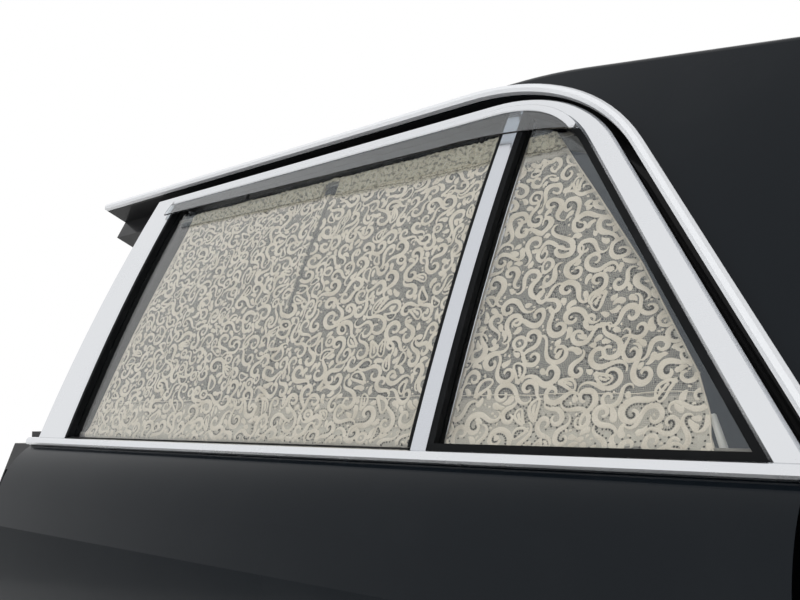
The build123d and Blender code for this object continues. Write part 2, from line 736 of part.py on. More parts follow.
# Hinges
pillar_leaf_y_outer, pillar_leaf_y_inner = -84.0, -46.0
door_leaf_y_outer, door_leaf_y_inner = -96.0, -58.0
for position, hinge_z in zip(("lower", "upper"), hinge_heights):
    with BuildPart() as pillar_leaf:
        box(pillar_rear_face, pillar_rear_face + leaf_thickness, pillar_leaf_y_outer, pillar_leaf_y_inner,
            hinge_z - leaf_height / 2, hinge_z + leaf_height / 2)
        for side in (-1, 1):
            knuckle_z = hinge_z + side * (knuckle_height + knuckle_gap)
            with BuildSketch(Plane.XY.offset(knuckle_z - knuckle_height / 2)):
                with BuildLine():
                    Polyline((pillar_rear_face, pillar_leaf_y_outer),
                             (pillar_rear_face, pillar_leaf_y_outer + 14),
                             (hinge_x + 5, hinge_y + 7), (hinge_x - 7, hinge_y - 5), close=True)
                make_face()
                with Locations((hinge_x, hinge_y)):
                    Circle(knuckle_radius)
            extrude(amount=knuckle_height)
        with BuildSketch(Plane.XY.offset(hinge_z - 1.5 * knuckle_height - knuckle_gap - 3)):
            with Locations((hinge_x, hinge_y)):
                Circle(pin_radius)
        extrude(amount=3 * knuckle_height + 2 * knuckle_gap + 6)
    finish(pillar_leaf, f"{position}_hinge_pillar_leaf")
    with BuildPart() as door_leaf:
        box(pan_front - leaf_thickness, pan_front, door_leaf_y_outer, door_leaf_y_inner,
            hinge_z - leaf_height / 2, hinge_z + leaf_height / 2)
        with BuildSketch(Plane.XY.offset(hinge_z - knuckle_height / 2)):
            with BuildLine():
                Polyline((pan_front, door_leaf_y_outer), (pan_front, door_leaf_y_outer + 14),
                         (hinge_x - 2, hinge_y + 8), (hinge_x, hinge_y - 8), close=True)
            make_face()
            with Locations((hinge_x, hinge_y)):
                Circle(knuckle_radius)
        extrude(amount=knuckle_height)
        with Locations((hinge_x, hinge_y, hinge_z)):
            Cylinder(pin_radius + pin_clear, knuckle_height + 2, mode=Mode.SUBTRACT)
    finish(door_leaf, f"{position}_hinge_door_leaf")

# Sill
with BuildPart() as sill:
    with BuildSketch(Plane.YZ.offset(frame_front)):
        with BuildLine():
            Polyline((-84, 0), (-106, 24), (-113, sill_top), (flange_y, sill_top), (flange_y, sill_step_top),
                     (cabin_y, sill_step_top), (cabin_y, 0), close=True)
        make_face()
        offset(amount=-box_wall, mode=Mode.SUBTRACT)
    extrude(amount=frame_rear - frame_front)
finish(sill, "sill")

# Centre pillar: a box that carries the hinges, a flange for the seal and a leaning upper part
upper_pillar_front = Lean(-612.0, door_front_line.per_up)
upper_pillar_rear = shifted(door_front_line, seal_inset + seal_width + 6)
with BuildPart() as centre_pillar:
    box(frame_front, pillar_rear_face, pillar_outer_y, flange_y, sill_top, waist_z)
    box(frame_front, front_flange_edge, flange_y, cabin_y, sill_step_top, flange_top)
    box(frame_front + box_wall, pillar_rear_face - box_wall, pillar_outer_y + box_wall, cabin_y - box_wall,
        sill_top, waist_z - pillar_cap, mode=Mode.SUBTRACT)
    with BuildSketch(Plane.YZ):
        with BuildLine():
            Polyline((pillar_outer_y - 1, waist_z - head_drop - head_slant),
                     (pillar_outer_y - 1, waist_z + 1),
                     (pillar_outer_y + head_setback, waist_z + 1), (pillar_outer_y + head_setback, waist_z),
                     (pillar_outer_y, waist_z - head_drop), close=True)
        make_face()
    extrude(amount=half_length, both=True, mode=Mode.SUBTRACT)
finish(centre_pillar, "centre_pillar")

with BuildPart() as upper_pillar:
    side_slab(-rail_depth, -rail_face_depth)
    with BuildSketch(window_plane):
        leaning_face(upper_pillar_front, upper_pillar_rear, skirt_low, rail_low)
    extrude(amount=160, both=True, mode=Mode.INTERSECT)
    split(bisect_by=Plane.XY.offset(flange_top), keep=Keep.TOP)
finish(upper_pillar, "upper_pillar")

# Body side and roof as one solid, a distance inside the outer panel
roof_edge_round = 10.0
roof_edge_up = window_top + top_band + drip_width + roof_edge_round / 2 + 0.5
roof_crown = 0.12
roof_inner_y = 190.0
roof_fall_start = 200.0
roof_fall_radius = 600.0
roof_fall = atan2(0.165, 1.0)
roof_body_depth = 300.0
panel_sheet = 2.0
roof_edge = side_point(roof_edge_up, -panel_depth)
roof_plane = Plane(origin=(0, *roof_edge), x_dir=(1, 0, 0), z_dir=(0, -1, -roof_crown))


def roof_body(inset, front, rear):
    """Everything inside the panel's side and roof, moved in by the inset, with its rounded edge."""
    side_slab(-roof_body_depth - 2 * inset, -panel_depth - inset)
    reach = roof_fall_radius - inset
    turn_end = (roof_fall_start + reach * sin(roof_fall), reach * cos(roof_fall) - roof_fall_radius)
    half_fall = roof_fall / 2
    turn_middle = (roof_fall_start + reach * sin(half_fall), reach * cos(half_fall) - roof_fall_radius)
    rear_height = turn_end[1] - (rear - turn_end[0]) * sin(roof_fall) / cos(roof_fall)
    with BuildSketch(roof_plane) as side_view:
        with BuildLine():
            Line((front, -half_length), (front, -inset))
            Line((front, -inset), (roof_fall_start, -inset))
            ThreePointArc((roof_fall_start, -inset), turn_middle, turn_end)
            Line(turn_end, (rear, rear_height))
            Line((rear, rear_height), (rear, -half_length))
            Line((rear, -half_length), (front, -half_length))
        make_face()
    extrude(side_view.sketch, amount=half_length, both=True, mode=Mode.INTERSECT)
    roof_turn = edges().filter_by(
        lambda edge: edge.center().Z > side_point(rail_low - seal_width, 0.0)[1]
        and edge.center().Y < roof_edge[0] + 30
    )
    fillet(roof_turn, roof_edge_round - inset)


with BuildPart() as roof_core:
    roof_body(panel_sheet, frame_front - outline_overlap, frame_rear + outline_overlap)

# Roof rail behind the outer panel
with BuildPart() as roof_rail:
    side_slab(-rail_depth, -rail_face_depth)
    with BuildSketch(window_plane):
        leaning_face(Lean(frame_front, 0.0), Lean(frame_rear, 0.0), rail_low, rail_high)
    extrude(amount=160, both=True, mode=Mode.INTERSECT)
    add(roof_core.part, mode=Mode.INTERSECT)
finish(roof_rail, "roof_rail")

# Rear pillar: the sloping part behind the quarter pane and the lock pillar below the belt
with BuildPart() as rear_pillar:
    side_slab(-rail_depth, -rail_face_depth)
    with BuildSketch(window_plane):
        leaning_face(Lean(0.0, 0.0), Lean(frame_rear, 0.0), skirt_low, rail_low)
        outer_window(-seal_inset - seal_width - 4, mode=Mode.SUBTRACT)
    extrude(amount=160, both=True, mode=Mode.INTERSECT)
    add(roof_core.part, mode=Mode.INTERSECT)
    split(bisect_by=Plane.XY.offset(flange_top), keep=Keep.TOP)
finish(rear_pillar, "rear_pillar")

with BuildPart() as lock_pillar:
    with BuildSketch(Plane.YZ.offset(lock_pillar_face)):
        side_profile(skin_thickness, inboard=flange_y)
    extrude(amount=frame_rear - lock_pillar_face)
    box(rear_flange_edge, frame_rear, flange_y, cabin_y, sill_step_top, flange_top)
    box(lock_pillar_face + box_wall, frame_rear - box_wall, flange_y - 2 * box_wall, cabin_y - box_wall, 0,
        waist_z - pillar_cap, mode=Mode.SUBTRACT)
    with BuildSketch(Plane.YZ.offset(lock_pillar_face + box_wall)) as hollow:
        side_profile(skin_thickness + box_wall, inboard=flange_y)
        with Locations((0, waist_z)):
            Rectangle(2 * half_length, 2 * pillar_cap, mode=Mode.SUBTRACT)
    extrude(hollow.sketch, amount=frame_rear - lock_pillar_face - 2 * box_wall, mode=Mode.SUBTRACT)
finish(lock_pillar, "lock_pillar")

with BuildPart() as quarter_skin:
    with BuildSketch(Plane.YZ.offset(lock_pillar_face)):
        side_profile(0.0, inboard=flange_y)
        side_profile(skin_thickness, inboard=flange_y, mode=Mode.SUBTRACT)
    extrude(amount=frame_rear - lock_pillar_face)
finish(quarter_skin, "quarter_skin")

# Outer panel round the window opening, turned over into the roof along an edge that falls to the rear
def opening_face(grow, mode=Mode.ADD):
    """Outline of the opening in the outer panel, open towards the front."""
    window_face(Lean(-half_length - 60, 0.0), shifted(rear_slope_line, shut_band + grow),
                window_top + top_band + grow, opening_corner_radius + grow, low=side_low, mode=mode)


with BuildPart() as roof_panel:
    roof_body(0.0, frame_front, frame_rear)
    add(roof_core.part, mode=Mode.SUBTRACT)
    with BuildSketch(window_plane) as opening:
        opening_face(0.0)
    extrude(opening.sketch, amount=160, both=True, mode=Mode.SUBTRACT)
    box(frame_front, frame_rear, outboard_limit, roof_inner_y, waist_z, 2 * belt_top, mode=Mode.INTERSECT)
finish(roof_panel, "roof_panel")

with BuildPart() as opening_flange:
    side_slab(-rail_face_depth, -panel_depth - panel_sheet)
    with BuildSketch(window_plane):
        opening_face(panel_sheet)
        leaning_face(Lean(frame_front, 0.0), far_rear, skirt_low, side_high, mode=Mode.INTERSECT)
        opening_face(0.0, mode=Mode.SUBTRACT)
    extrude(amount=160, both=True, mode=Mode.INTERSECT)
    split(bisect_by=Plane.XY.offset(waist_z), keep=Keep.TOP)
finish(opening_flange, "opening_flange")

# Bright drip moulding along the opening
with BuildPart() as drip_moulding:
    side_slab(-panel_depth, drip_rise)
    with BuildSketch(window_plane):
        opening_face(drip_width)
        leaning_face(Lean(frame_front, 0.0), far_rear, skirt_low, side_high, mode=Mode.INTERSECT)
        opening_face(0.0, mode=Mode.SUBTRACT)
    extrude(amount=160, both=True, mode=Mode.INTERSECT)
    split(bisect_by=Plane.XY.offset(belt_top), keep=Keep.TOP)
    chamfer(trim_edges(drip_moulding, belt_top + 1), drip_bevel)
finish(drip_moulding, "drip_moulding")

# Rubber seal round the aperture, with a short step where the window side meets the lower side
step_low, step_high = belt_top - 8.0, belt_top + 6.0
with BuildPart() as aperture_seal:
    side_slab(-rail_face_depth, -frame_depth - seal_clear)
    with BuildSketch(window_plane):
        outer_window(-seal_inset)
        outer_window(-seal_inset - seal_width, mode=Mode.SUBTRACT)
    extrude(amount=160, both=True, mode=Mode.INTERSECT)
    split(bisect_by=Plane.XY.offset(waist_z + 2), keep=Keep.TOP)
    box(seal_front, seal_rear, inner_y + seal_clear, flange_y, seal_bottom, step_high)
    box(along(door_front_line, 0, seal_inset), seal_rear, inner_y + seal_clear, flange_y, step_low, step_high)
    box(seal_front, along(rear_slope_line, 0, -seal_inset), inner_y + seal_clear, flange_y,
        step_low, step_high)
    box(seal_front + seal_width, seal_rear - seal_width, inner_y + seal_clear, flange_y,
        seal_bottom + seal_width, step_high, mode=Mode.SUBTRACT)
finish(aperture_seal, "aperture_seal")
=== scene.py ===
"""Finishes, lace curtains and small fittings of a hearse side door hung in its body frame.

Lengths are in metres in the model's own frame: X runs rearwards, Y inboard and Z up.
"""

import logging
import math
from collections.abc import Iterable, Sequence
from dataclasses import dataclass, field
from enum import Enum

import bpy
import numpy as np
from mathutils import Matrix, Vector


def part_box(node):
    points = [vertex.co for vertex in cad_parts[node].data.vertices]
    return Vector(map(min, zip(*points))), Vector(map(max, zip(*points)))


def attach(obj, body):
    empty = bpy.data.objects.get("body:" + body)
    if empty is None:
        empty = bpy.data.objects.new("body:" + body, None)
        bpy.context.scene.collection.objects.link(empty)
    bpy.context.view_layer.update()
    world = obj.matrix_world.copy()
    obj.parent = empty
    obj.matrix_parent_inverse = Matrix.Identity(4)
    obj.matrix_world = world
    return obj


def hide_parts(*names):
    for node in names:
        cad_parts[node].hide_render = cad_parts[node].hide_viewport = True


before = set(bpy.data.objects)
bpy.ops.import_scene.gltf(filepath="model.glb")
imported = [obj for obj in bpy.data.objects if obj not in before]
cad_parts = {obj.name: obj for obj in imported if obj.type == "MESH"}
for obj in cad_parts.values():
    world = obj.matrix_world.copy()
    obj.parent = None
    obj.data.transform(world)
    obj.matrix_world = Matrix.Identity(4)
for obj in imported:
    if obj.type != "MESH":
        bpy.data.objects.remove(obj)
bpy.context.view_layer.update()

log = logging.getLogger("hearse_door")
MM = 0.001
Pair = tuple[float, float]
Triple = tuple[float, float, float]
Colour = Triple

# One turn as the waves of the cloth count it
WAVE_TURN = 6.28


class Body(Enum):
    """The two bodies that a piece can ride on."""

    SIDE = "body_side"
    DOOR = "door"


class Slot(Enum):
    """Material slots of the record that the scene's own pieces use."""

    SATIN = "satin_chrome"
    BRIGHT = "bright_chrome"
    RUBBER = "black_rubber"
    LACE = "cream_lace"
    ZINC = "zinc_steel"
    VINYL = "black_vinyl"


# Shader maths


class Cell(Enum):
    """What is measured inside random cells."""

    MIDDLE = "F1"
    EDGE = "DISTANCE_TO_EDGE"


class Value:
    """A number that varies over a surface, held as a socket, with arithmetic on it."""

    def __init__(self, nodes: "Nodes", socket: bpy.types.NodeSocket) -> None:
        """Wrap an output socket of a tree."""
        self.nodes = nodes
        self.socket = socket

    def _math(self, operation: str, first: object, second: object) -> "Value":
        """Add one Math node.

        Args:
            operation: name of the Math node's operation.
            first: left number or value.
            second: right number or value.

        Returns:
            The node's result.
        """
        node = self.nodes.add("ShaderNodeMath", {"operation": operation}, {0: first, 1: second})
        return Value(self.nodes, node.outputs[0])

    def __add__(self, other: object) -> "Value":
        """Sum."""
        return self._math("ADD", self, other)

    __radd__ = __add__

    def __sub__(self, other: object) -> "Value":
        """Difference."""
        return self._math("SUBTRACT", self, other)

    def __rsub__(self, other: object) -> "Value":
        """Difference from a number."""
        return self._math("SUBTRACT", other, self)

    def __mul__(self, other: object) -> "Value":
        """Product."""
        return self._math("MULTIPLY", self, other)

    __rmul__ = __mul__

    def maximum(self, other: object) -> "Value":
        """Larger of the two."""
        return self._math("MAXIMUM", self, other)

    def step(self, low: float, high: float) -> "Value":
        """Smooth step of the value.

        Args:
            low: value that gives 0.
            high: value that gives 1.

        Returns:
            A mask from 0 to 1.
        """
        inputs = {"Value": self, 1: low, 2: high}
        node = self.nodes.add("ShaderNodeMapRange", {"interpolation_type": "SMOOTHSTEP"}, inputs)
        return Value(self.nodes, node.outputs[0])


class Nodes:
    """Node tree of a finish or of the world."""

    def __init__(self, tree: bpy.types.NodeTree) -> None:
        """Clear a tree and hold it."""
        self.tree = tree
        self.tree.nodes.clear()

    def add(
        self, kind: str, settings: dict[str, object] | None = None,
        inputs: dict[object, object] | None = None,
    ) -> bpy.types.Node:
        """Add a node.

        Args:
            kind: the node's type name.
            settings: the node's own settings, set first.
            inputs: number, colour, socket or value for each input, by name or place.

        Returns:
            The new node.
        """
        node = self.tree.nodes.new(kind)
        for key, value in (settings or {}).items():
            setattr(node, key, value)
        for key, value in (inputs or {}).items():
            self.plug(node.inputs[key], value)
        return node

    def plug(self, target: bpy.types.NodeSocket, value: object) -> None:
        """Give an input a constant or a link.

        Args:
            target: the input.
            value: a number, colour, socket or value.
        """
        if isinstance(value, Value):
            self.tree.links.new(value.socket, target)
        elif isinstance(value, bpy.types.NodeSocket):
            self.tree.links.new(value, target)
        elif isinstance(value, tuple) and target.type == "RGBA":
            target.default_value = (*value[:3], 1.0)
        else:
            target.default_value = value


class Shader(Nodes):
    """Node tree of one finish, with a Principled shader."""

    def __init__(self, name: str) -> None:
        """Start an empty material.

        Args:
            name: the material's name.
        """
        self.material = bpy.data.materials.new(name)
        self.material.use_nodes = True
        super().__init__(self.material.node_tree)
        self.output = self.add("ShaderNodeOutputMaterial")
        self.surface = self.add("ShaderNodeBsdfPrincipled")
        self.plug(self.output.inputs["Surface"], self.surface.outputs[0])

    def place(self) -> bpy.types.NodeSocket:
        """Place on the object, in metres."""
        return self.add("ShaderNodeTexCoord").outputs["Object"]

    def stretched(self, scale: Sequence[float]) -> bpy.types.NodeSocket:
        """Place on the object scaled along each axis."""
        inputs = {0: self.place(), 1: tuple(scale)}
        return self.add("ShaderNodeVectorMath", {"operation": "MULTIPLY"}, inputs).outputs[0]

    def noise(self, vector: bpy.types.NodeSocket, scale: float, detail: float = 3.0) -> Value:
        """Noise value from 0 to 1 at a scale per metre."""
        node = self.add("ShaderNodeTexNoise", None, {"Vector": vector, "Scale": scale, "Detail": detail})
        return Value(self, node.outputs["Fac"])

    def cloth_map(self, layer: str = "Cloth") -> bpy.types.NodeSocket:
        """Place on one of the cloth's flat maps, in millimetres on the first."""
        return self.add("ShaderNodeUVMap", {"uv_map": layer}).outputs[0]

    def cells(self, vector: bpy.types.NodeSocket, scale: float, feature: Cell, random: float = 1.0) -> Value:
        """Distance inside random cells.

        Args:
            vector: place that is read.
            scale: cells per unit of the place.
            feature: what is measured.
            random: how far the cells stray from a grid.

        Returns:
            The distance, in cells.
        """
        inputs = {"Vector": vector, "Scale": scale, "Randomness": random}
        node = self.add("ShaderNodeTexVoronoi", {"feature": feature.value}, inputs)
        return Value(self, node.outputs["Distance"])

    def blend(self, mask: Value, low: object, high: object) -> bpy.types.NodeSocket:
        """Mix two colours by a mask."""
        node = self.add("ShaderNodeMix", {"data_type": "RGBA"}, {0: mask, 6: low, 7: high})
        return node.outputs[2]

    def bump(self, height: Value, strength: float, distance: float) -> None:
        """Give the surface a fine relief."""
        inputs = {"Strength": strength, "Distance": distance, "Height": height}
        self.set(Normal=self.add("ShaderNodeBump", None, inputs).outputs["Normal"])

    def set(self, **values: object) -> None:
        """Set or link inputs of the Principled shader, named with underscores for spaces."""
        for key, value in values.items():
            self.plug(self.surface.inputs[key.replace("_", " ")], value)


# Finishes


made_materials: dict[str, bpy.types.Material] = {}


@dataclass(frozen=True)
class Finish:
    """A finish that makes its own material."""

    name: str

    def material(self) -> bpy.types.Material:
        """The finish's material, made once.

        Returns:
            The material.
        """
        if self.name not in made_materials:
            made_materials[self.name] = self._make(Shader(self.name))
        return made_materials[self.name]

    def _make(self, shader: Shader) -> bpy.types.Material:
        """Build the node tree.

        Args:
            shader: the finish's empty shader.

        Returns:
            The finished material.
        """
        raise NotImplementedError


@dataclass(frozen=True)
class Paint(Finish):
    """Sprayed paint with a clear coat, a little orange peel and dust."""

    colour: Colour = (0.0045, 0.0065, 0.0090)
    dust: Colour = (0.030, 0.033, 0.036)
    dust_share: float = 0.10
    roughness: float = 0.16
    coat: float = 0.12
    specular: float = 0.08
    peel: float = 0.05

    def _make(self, shader: Shader) -> bpy.types.Material:
        """Build the node tree.

        Args:
            shader: the finish's empty shader.

        Returns:
            The finished material.
        """
        place = shader.place()
        film = shader.noise(place, 9.0, 5.0).step(0.45, 0.8)
        specks = shader.noise(place, 900.0, 2.0).step(0.62, 0.78)
        dust = (film * 0.7 + specks * 0.3) * self.dust_share
        shader.set(
            Base_Color=shader.blend(dust, self.colour, self.dust), Roughness=dust * 0.6 + self.roughness,
            Coat_Weight=self.coat, Coat_Roughness=0.03, Specular_IOR_Level=self.specular,
        )
        shader.bump(shader.noise(place, 260.0, 1.0), self.peel, 0.2 * MM)
        return shader.material


@dataclass(frozen=True)
class Chrome(Finish):
    """Plated metal with fine lines along its length, haze and wear."""

    colour: Colour = (0.80, 0.81, 0.83)
    worn: Colour = (0.60, 0.60, 0.60)
    roughness: float = 0.2
    metal: float = 1.0
    lines: Triple = (6.0, 900.0, 900.0)
    line_depth: float = 0.05

    def _make(self, shader: Shader) -> bpy.types.Material:
        """Build the node tree.

        Args:
            shader: the finish's empty shader.

        Returns:
            The finished material.
        """
        place = shader.place()
        brushed = shader.noise(shader.stretched(self.lines), 1.0, 4.0)
        haze = shader.noise(place, 14.0, 4.0).step(0.4, 0.75)
        pits = shader.cells(place, 420.0, Cell.MIDDLE).step(0.07, 0.13)
        wear = (1 - pits) * shader.noise(place, 40.0, 2.0).step(0.62, 0.7)
        shader.set(
            Base_Color=shader.blend(wear, self.colour, self.worn), Metallic=self.metal,
            Roughness=brushed * 0.08 + haze * 0.07 + wear * 0.3 + self.roughness,
        )
        shader.bump(brushed - wear * 0.5, self.line_depth, 0.1 * MM)
        return shader.material


@dataclass(frozen=True)
class Rubber(Finish):
    """Matt rubber with a fine grain and a grey bloom."""

    colour: Colour = (0.004, 0.0045, 0.005)
    bloom: Colour = (0.016, 0.0165, 0.018)
    roughness: float = 0.6
    specular: float = 0.12

    def _make(self, shader: Shader) -> bpy.types.Material:
        """Build the node tree.

        Args:
            shader: the finish's empty shader.

        Returns:
            The finished material.
        """
        place = shader.place()
        patches = shader.noise(place, 22.0, 5.0).step(0.48, 0.72)
        grain = shader.noise(place, 1400.0, 2.0)
        shader.set(
            Base_Color=shader.blend(patches * 0.5, self.colour, self.bloom), Specular_IOR_Level=self.specular,
            Roughness=patches * 0.15 + grain * 0.1 + self.roughness,
        )
        shader.bump(grain, 0.25, 0.15 * MM)
        return shader.material


@dataclass(frozen=True)
class Clear(Finish):
    """Glass or acrylic, tinted through, with a thin film of dust."""

    tint: Colour = (0.84, 0.86, 0.855)
    film: Colour = (0.71, 0.73, 0.725)
    index: float = 1.45
    haze: float = 0.02
    specular: float = 0.13

    def _make(self, shader: Shader) -> bpy.types.Material:
        """Build the node tree.

        Args:
            shader: the finish's empty shader.

        Returns:
            The finished material.
        """
        place = shader.place()
        film = shader.noise(place, 7.0, 5.0).step(0.52, 0.85)
        spots = shader.cells(place, 160.0, Cell.MIDDLE).step(0.05, 0.12)
        shader.set(
            Base_Color=shader.blend(film * 0.35, self.tint, self.film), Transmission_Weight=1.0,
            IOR=self.index, Roughness=(film + (1 - spots)) * self.haze, Specular_IOR_Level=self.specular,
        )
        return shader.material


@dataclass(frozen=True)
class Net(Finish):
    """Fine lace net: threads with open holes, denser where its cover map says so, with painted shade in the
    crease.
    """

    thread: Colour = (0.67, 0.625, 0.545)
    heading: Colour = (0.56, 0.50, 0.36)
    # crease: colour of the painted shade along the curtain's fold
    crease: Colour = (0.10, 0.10, 0.085)
    hollow: Colour = (0.36, 0.33, 0.26)
    mesh_pitch: float = 1.7 * MM
    stray: float = 0.35
    thread_edge: Pair = (0.03, 0.15)
    openings: float = 0.155
    opening_edge: Pair = (0.13, 0.19)
    web_cover: float = 0.62
    haze_cover: float = 0.15

    def _make(self, shader: Shader) -> bpy.types.Material:
        """Build the node tree.

        Args:
            shader: the finish's empty shader.

        Returns:
            The finished material.
        """
        flat = shader.cloth_map()
        split = shader.add("ShaderNodeSeparateXYZ", None, {0: shader.cloth_map("Cover")})
        cover, tone = Value(shader, split.outputs[0]), Value(shader, split.outputs[1])
        web = 1 - shader.cells(flat, MM / self.mesh_pitch, Cell.EDGE, self.stray).step(*self.thread_edge)
        openings = shader.cells(flat, self.openings, Cell.MIDDLE).step(*self.opening_edge)
        gather = shader.noise(flat, 0.22, 3.0)
        ground = (web * self.web_cover + self.haze_cover) * openings
        alpha = ground.maximum(cover * (gather * 0.25 + 0.78)) * cover.step(-0.9, -0.3)
        weave = shader.noise(flat, 1.4, 2.0)
        shade = shader.blend(tone, self.thread, self.heading)
        # Painted shade: the net darkens to the crease colour where the tone map is below 0
        shaded_crease_colour = shader.blend(tone * -1.0, shade, self.crease)
        deep = shader.blend(weave.step(0.35, 0.7) * 0.35, shaded_crease_colour, self.hollow)
        shader.set(Base_Color=deep, Alpha=alpha, Roughness=weave * 0.1 + 0.8, Sheen_Weight=0.25)
        shader.bump(web + weave, 0.3, 0.3 * MM)
        return shader.material


@dataclass(frozen=True)
class Thread(Finish):
    """Corded lace thread, wound and slightly uneven."""

    colour: Colour = (0.79, 0.715, 0.615)
    shade: Colour = (0.50, 0.44, 0.35)
    wind: float = 1.1

    def _make(self, shader: Shader) -> bpy.types.Material:
        """Build the node tree.

        Args:
            shader: the finish's empty shader.

        Returns:
            The finished material.
        """
        flat = shader.cloth_map()
        wound = shader.noise(flat, self.wind, 3.0)
        uneven = shader.noise(shader.place(), 55.0, 4.0).step(0.35, 0.75)
        shader.set(
            Base_Color=shader.blend(wound.step(0.3, 0.7) * 0.45 + uneven * 0.4, self.colour, self.shade),
            Roughness=wound * 0.15 + 0.75, Sheen_Weight=0.3,
        )
        shader.bump(wound, 0.4, 0.3 * MM)
        return shader.material


@dataclass(frozen=True)
class HeadingCloth(Finish):
    """Closely gathered ribbon, yellowed, with pin holes and painted shade in its creases."""

    colour: Colour = (0.50, 0.455, 0.345)
    # crease: colour of the painted shade in the gathers' creases
    crease: Colour = (0.09, 0.08, 0.055)

    def _make(self, shader: Shader) -> bpy.types.Material:
        """Build the node tree.

        Args:
            shader: the finish's empty shader.

        Returns:
            The finished material.
        """
        flat = shader.cloth_map()
        puckers = shader.noise(flat, 0.21, 4.0)
        holes = shader.cells(flat, 0.26, Cell.MIDDLE).step(0.12, 0.2)
        weave = shader.noise(flat, 1.8, 2.0)
        # Painted shade: the colour darkens to the crease colour where the pucker noise is high
        shader.set(
            Base_Color=shader.blend(puckers.step(0.46, 0.66) * 0.85, self.colour, self.crease),
            Alpha=holes * 0.6 + 0.4, Roughness=weave * 0.1 + 0.82, Sheen_Weight=0.25,
        )
        shader.bump(puckers * 2 + weave, 0.5, 0.6 * MM)
        return shader.material


@dataclass(frozen=True)
class Plate(Finish):
    """Zinc plated steel with a faint yellow bloom and greasy patches."""

    colour: Colour = (0.52, 0.53, 0.54)
    bloom: Colour = (0.50, 0.42, 0.24)
    grease: Colour = (0.07, 0.06, 0.05)

    def _make(self, shader: Shader) -> bpy.types.Material:
        """Build the node tree.

        Args:
            shader: the finish's empty shader.

        Returns:
            The finished material.
        """
        place = shader.place()
        spangle = shader.cells(place, 240.0, Cell.MIDDLE)
        bloom = shader.noise(place, 45.0, 4.0).step(0.45, 0.75)
        grease = shader.noise(place, 26.0, 5.0).step(0.60, 0.74)
        plated = shader.blend(bloom * 0.55, self.colour, self.bloom)
        shader.set(
            Base_Color=shader.blend(grease * 0.7, plated, self.grease), Metallic=1 - grease * 0.6,
            Roughness=spangle * 0.12 + grease * 0.2 + 0.3,
        )
        shader.bump(spangle, 0.12, 0.1 * MM)
        return shader.material


@dataclass(frozen=True)
class Vinyl(Finish):
    """Grained vinyl with a soft sheen and lighter rubbed patches."""

    colour: Colour = (0.013, 0.013, 0.014)
    rubbed: Colour = (0.05, 0.05, 0.052)

    def _make(self, shader: Shader) -> bpy.types.Material:
        """Build the node tree.

        Args:
            shader: the finish's empty shader.

        Returns:
            The finished material.
        """
        place = shader.place()
        creases = shader.cells(place, 620.0, Cell.EDGE).step(0.02, 0.2)
        pores = shader.noise(place, 1500.0, 2.0)
        rubbed = shader.noise(place, 6.0, 4.0).step(0.5, 0.8)
        shader.set(
            Base_Color=shader.blend(rubbed * creases * 0.6, self.colour, self.rubbed),
            Roughness=0.62 - rubbed * 0.14 - creases * 0.08, Specular_IOR_Level=0.45,
        )
        shader.bump(creases + pores * 0.3, 0.45, 0.35 * MM)
        return shader.material


@dataclass(frozen=True)
class Moulded(Finish):
    """Moulded plastic or baked enamel, faintly yellowed and scuffed."""

    colour: Colour = (0.78, 0.77, 0.73)
    aged: Colour = (0.62, 0.57, 0.45)
    roughness: float = 0.28

    def _make(self, shader: Shader) -> bpy.types.Material:
        """Build the node tree.

        Args:
            shader: the finish's empty shader.

        Returns:
            The finished material.
        """
        place = shader.place()
        aged = shader.noise(place, 60.0, 4.0).step(0.45, 0.75)
        scuffs = shader.noise(shader.stretched((1200.0, 1200.0, 90.0)), 1.0, 2.0).step(0.6, 0.72)
        shader.set(
            Base_Color=shader.blend(aged * 0.45, self.colour, self.aged), Specular_IOR_Level=0.5,
            Roughness=scuffs * 0.2 + aged * 0.08 + self.roughness,
        )
        shader.bump(scuffs, 0.1, 0.1 * MM)
        return shader.material


body_paint = Paint("body_black")
inner_paint = Paint(
    "inner_black", colour=(0.010, 0.010, 0.011), roughness=0.38, coat=0.25, peel=0.2, dust_share=0.35,
)
satin = Chrome("satin_trim", colour=(0.73, 0.745, 0.77))
drip_satin = Chrome("drip_trim", colour=(0.74, 0.755, 0.78), roughness=0.28, metal=0.35)
# Darker copy of the satin trim for the division bar: painted shade
bar_satin_shaded = Chrome("bar_trim_shaded", colour=(0.60, 0.62, 0.66))
bright = Chrome("bright_plate", colour=(0.86, 0.87, 0.88), roughness=0.06, line_depth=0.01)
rubber = Rubber("seal_rubber")
glass = Clear("pane_glass")
acrylic = Clear(
    "smoked_acrylic", tint=(0.72, 0.76, 0.79), film=(0.74, 0.76, 0.78), index=1.49, haze=0.05, specular=1.0,
)
net = Net("lace_net")
thread = Thread("lace_cord")
# Eyelets are dark discs: painted shade standing for the dark seen through their holes
eyelet_shade = Thread("eyelet_painted_shade", colour=(0.020, 0.019, 0.017), shade=(0.010, 0.010, 0.009))
heading_cloth = HeadingCloth("heading_ribbon")
stitching = Thread("heading_stitch", colour=(0.16, 0.13, 0.08), shade=(0.08, 0.065, 0.04))
# The rods are white enamel; this dark colour is painted shade
enamel = Moulded("rod_enamel_shaded", colour=(0.20, 0.19, 0.17), aged=(0.13, 0.12, 0.10), roughness=0.4)
ivory = Moulded("ivory_pin", colour=(0.82, 0.82, 0.80), aged=(0.66, 0.64, 0.56), roughness=0.18)
zinc = Plate("zinc_plate")
vinyl = Vinyl("grained_vinyl")
welt = Vinyl("welt_vinyl", colour=(0.02, 0.02, 0.021))
dark_plastic = Moulded("dark_plastic", colour=(0.012, 0.012, 0.013), aged=(0.04, 0.04, 0.04), roughness=0.4)


# Shapes shared by the pieces


@dataclass(frozen=True)
class Lean:
    """A leaning line of the window: where it crosses the belt, and how far it leans for each metre up."""

    at_belt: float
    per_up: float

    def at(self, up: float) -> float:
        """X of the line at a distance up from the belt."""
        return self.at_belt + self.per_up * up

    def moved(self, shift: float) -> "Lean":
        """The same line moved square to itself."""
        return Lean(self.at_belt + shift * math.hypot(1.0, self.per_up), self.per_up)


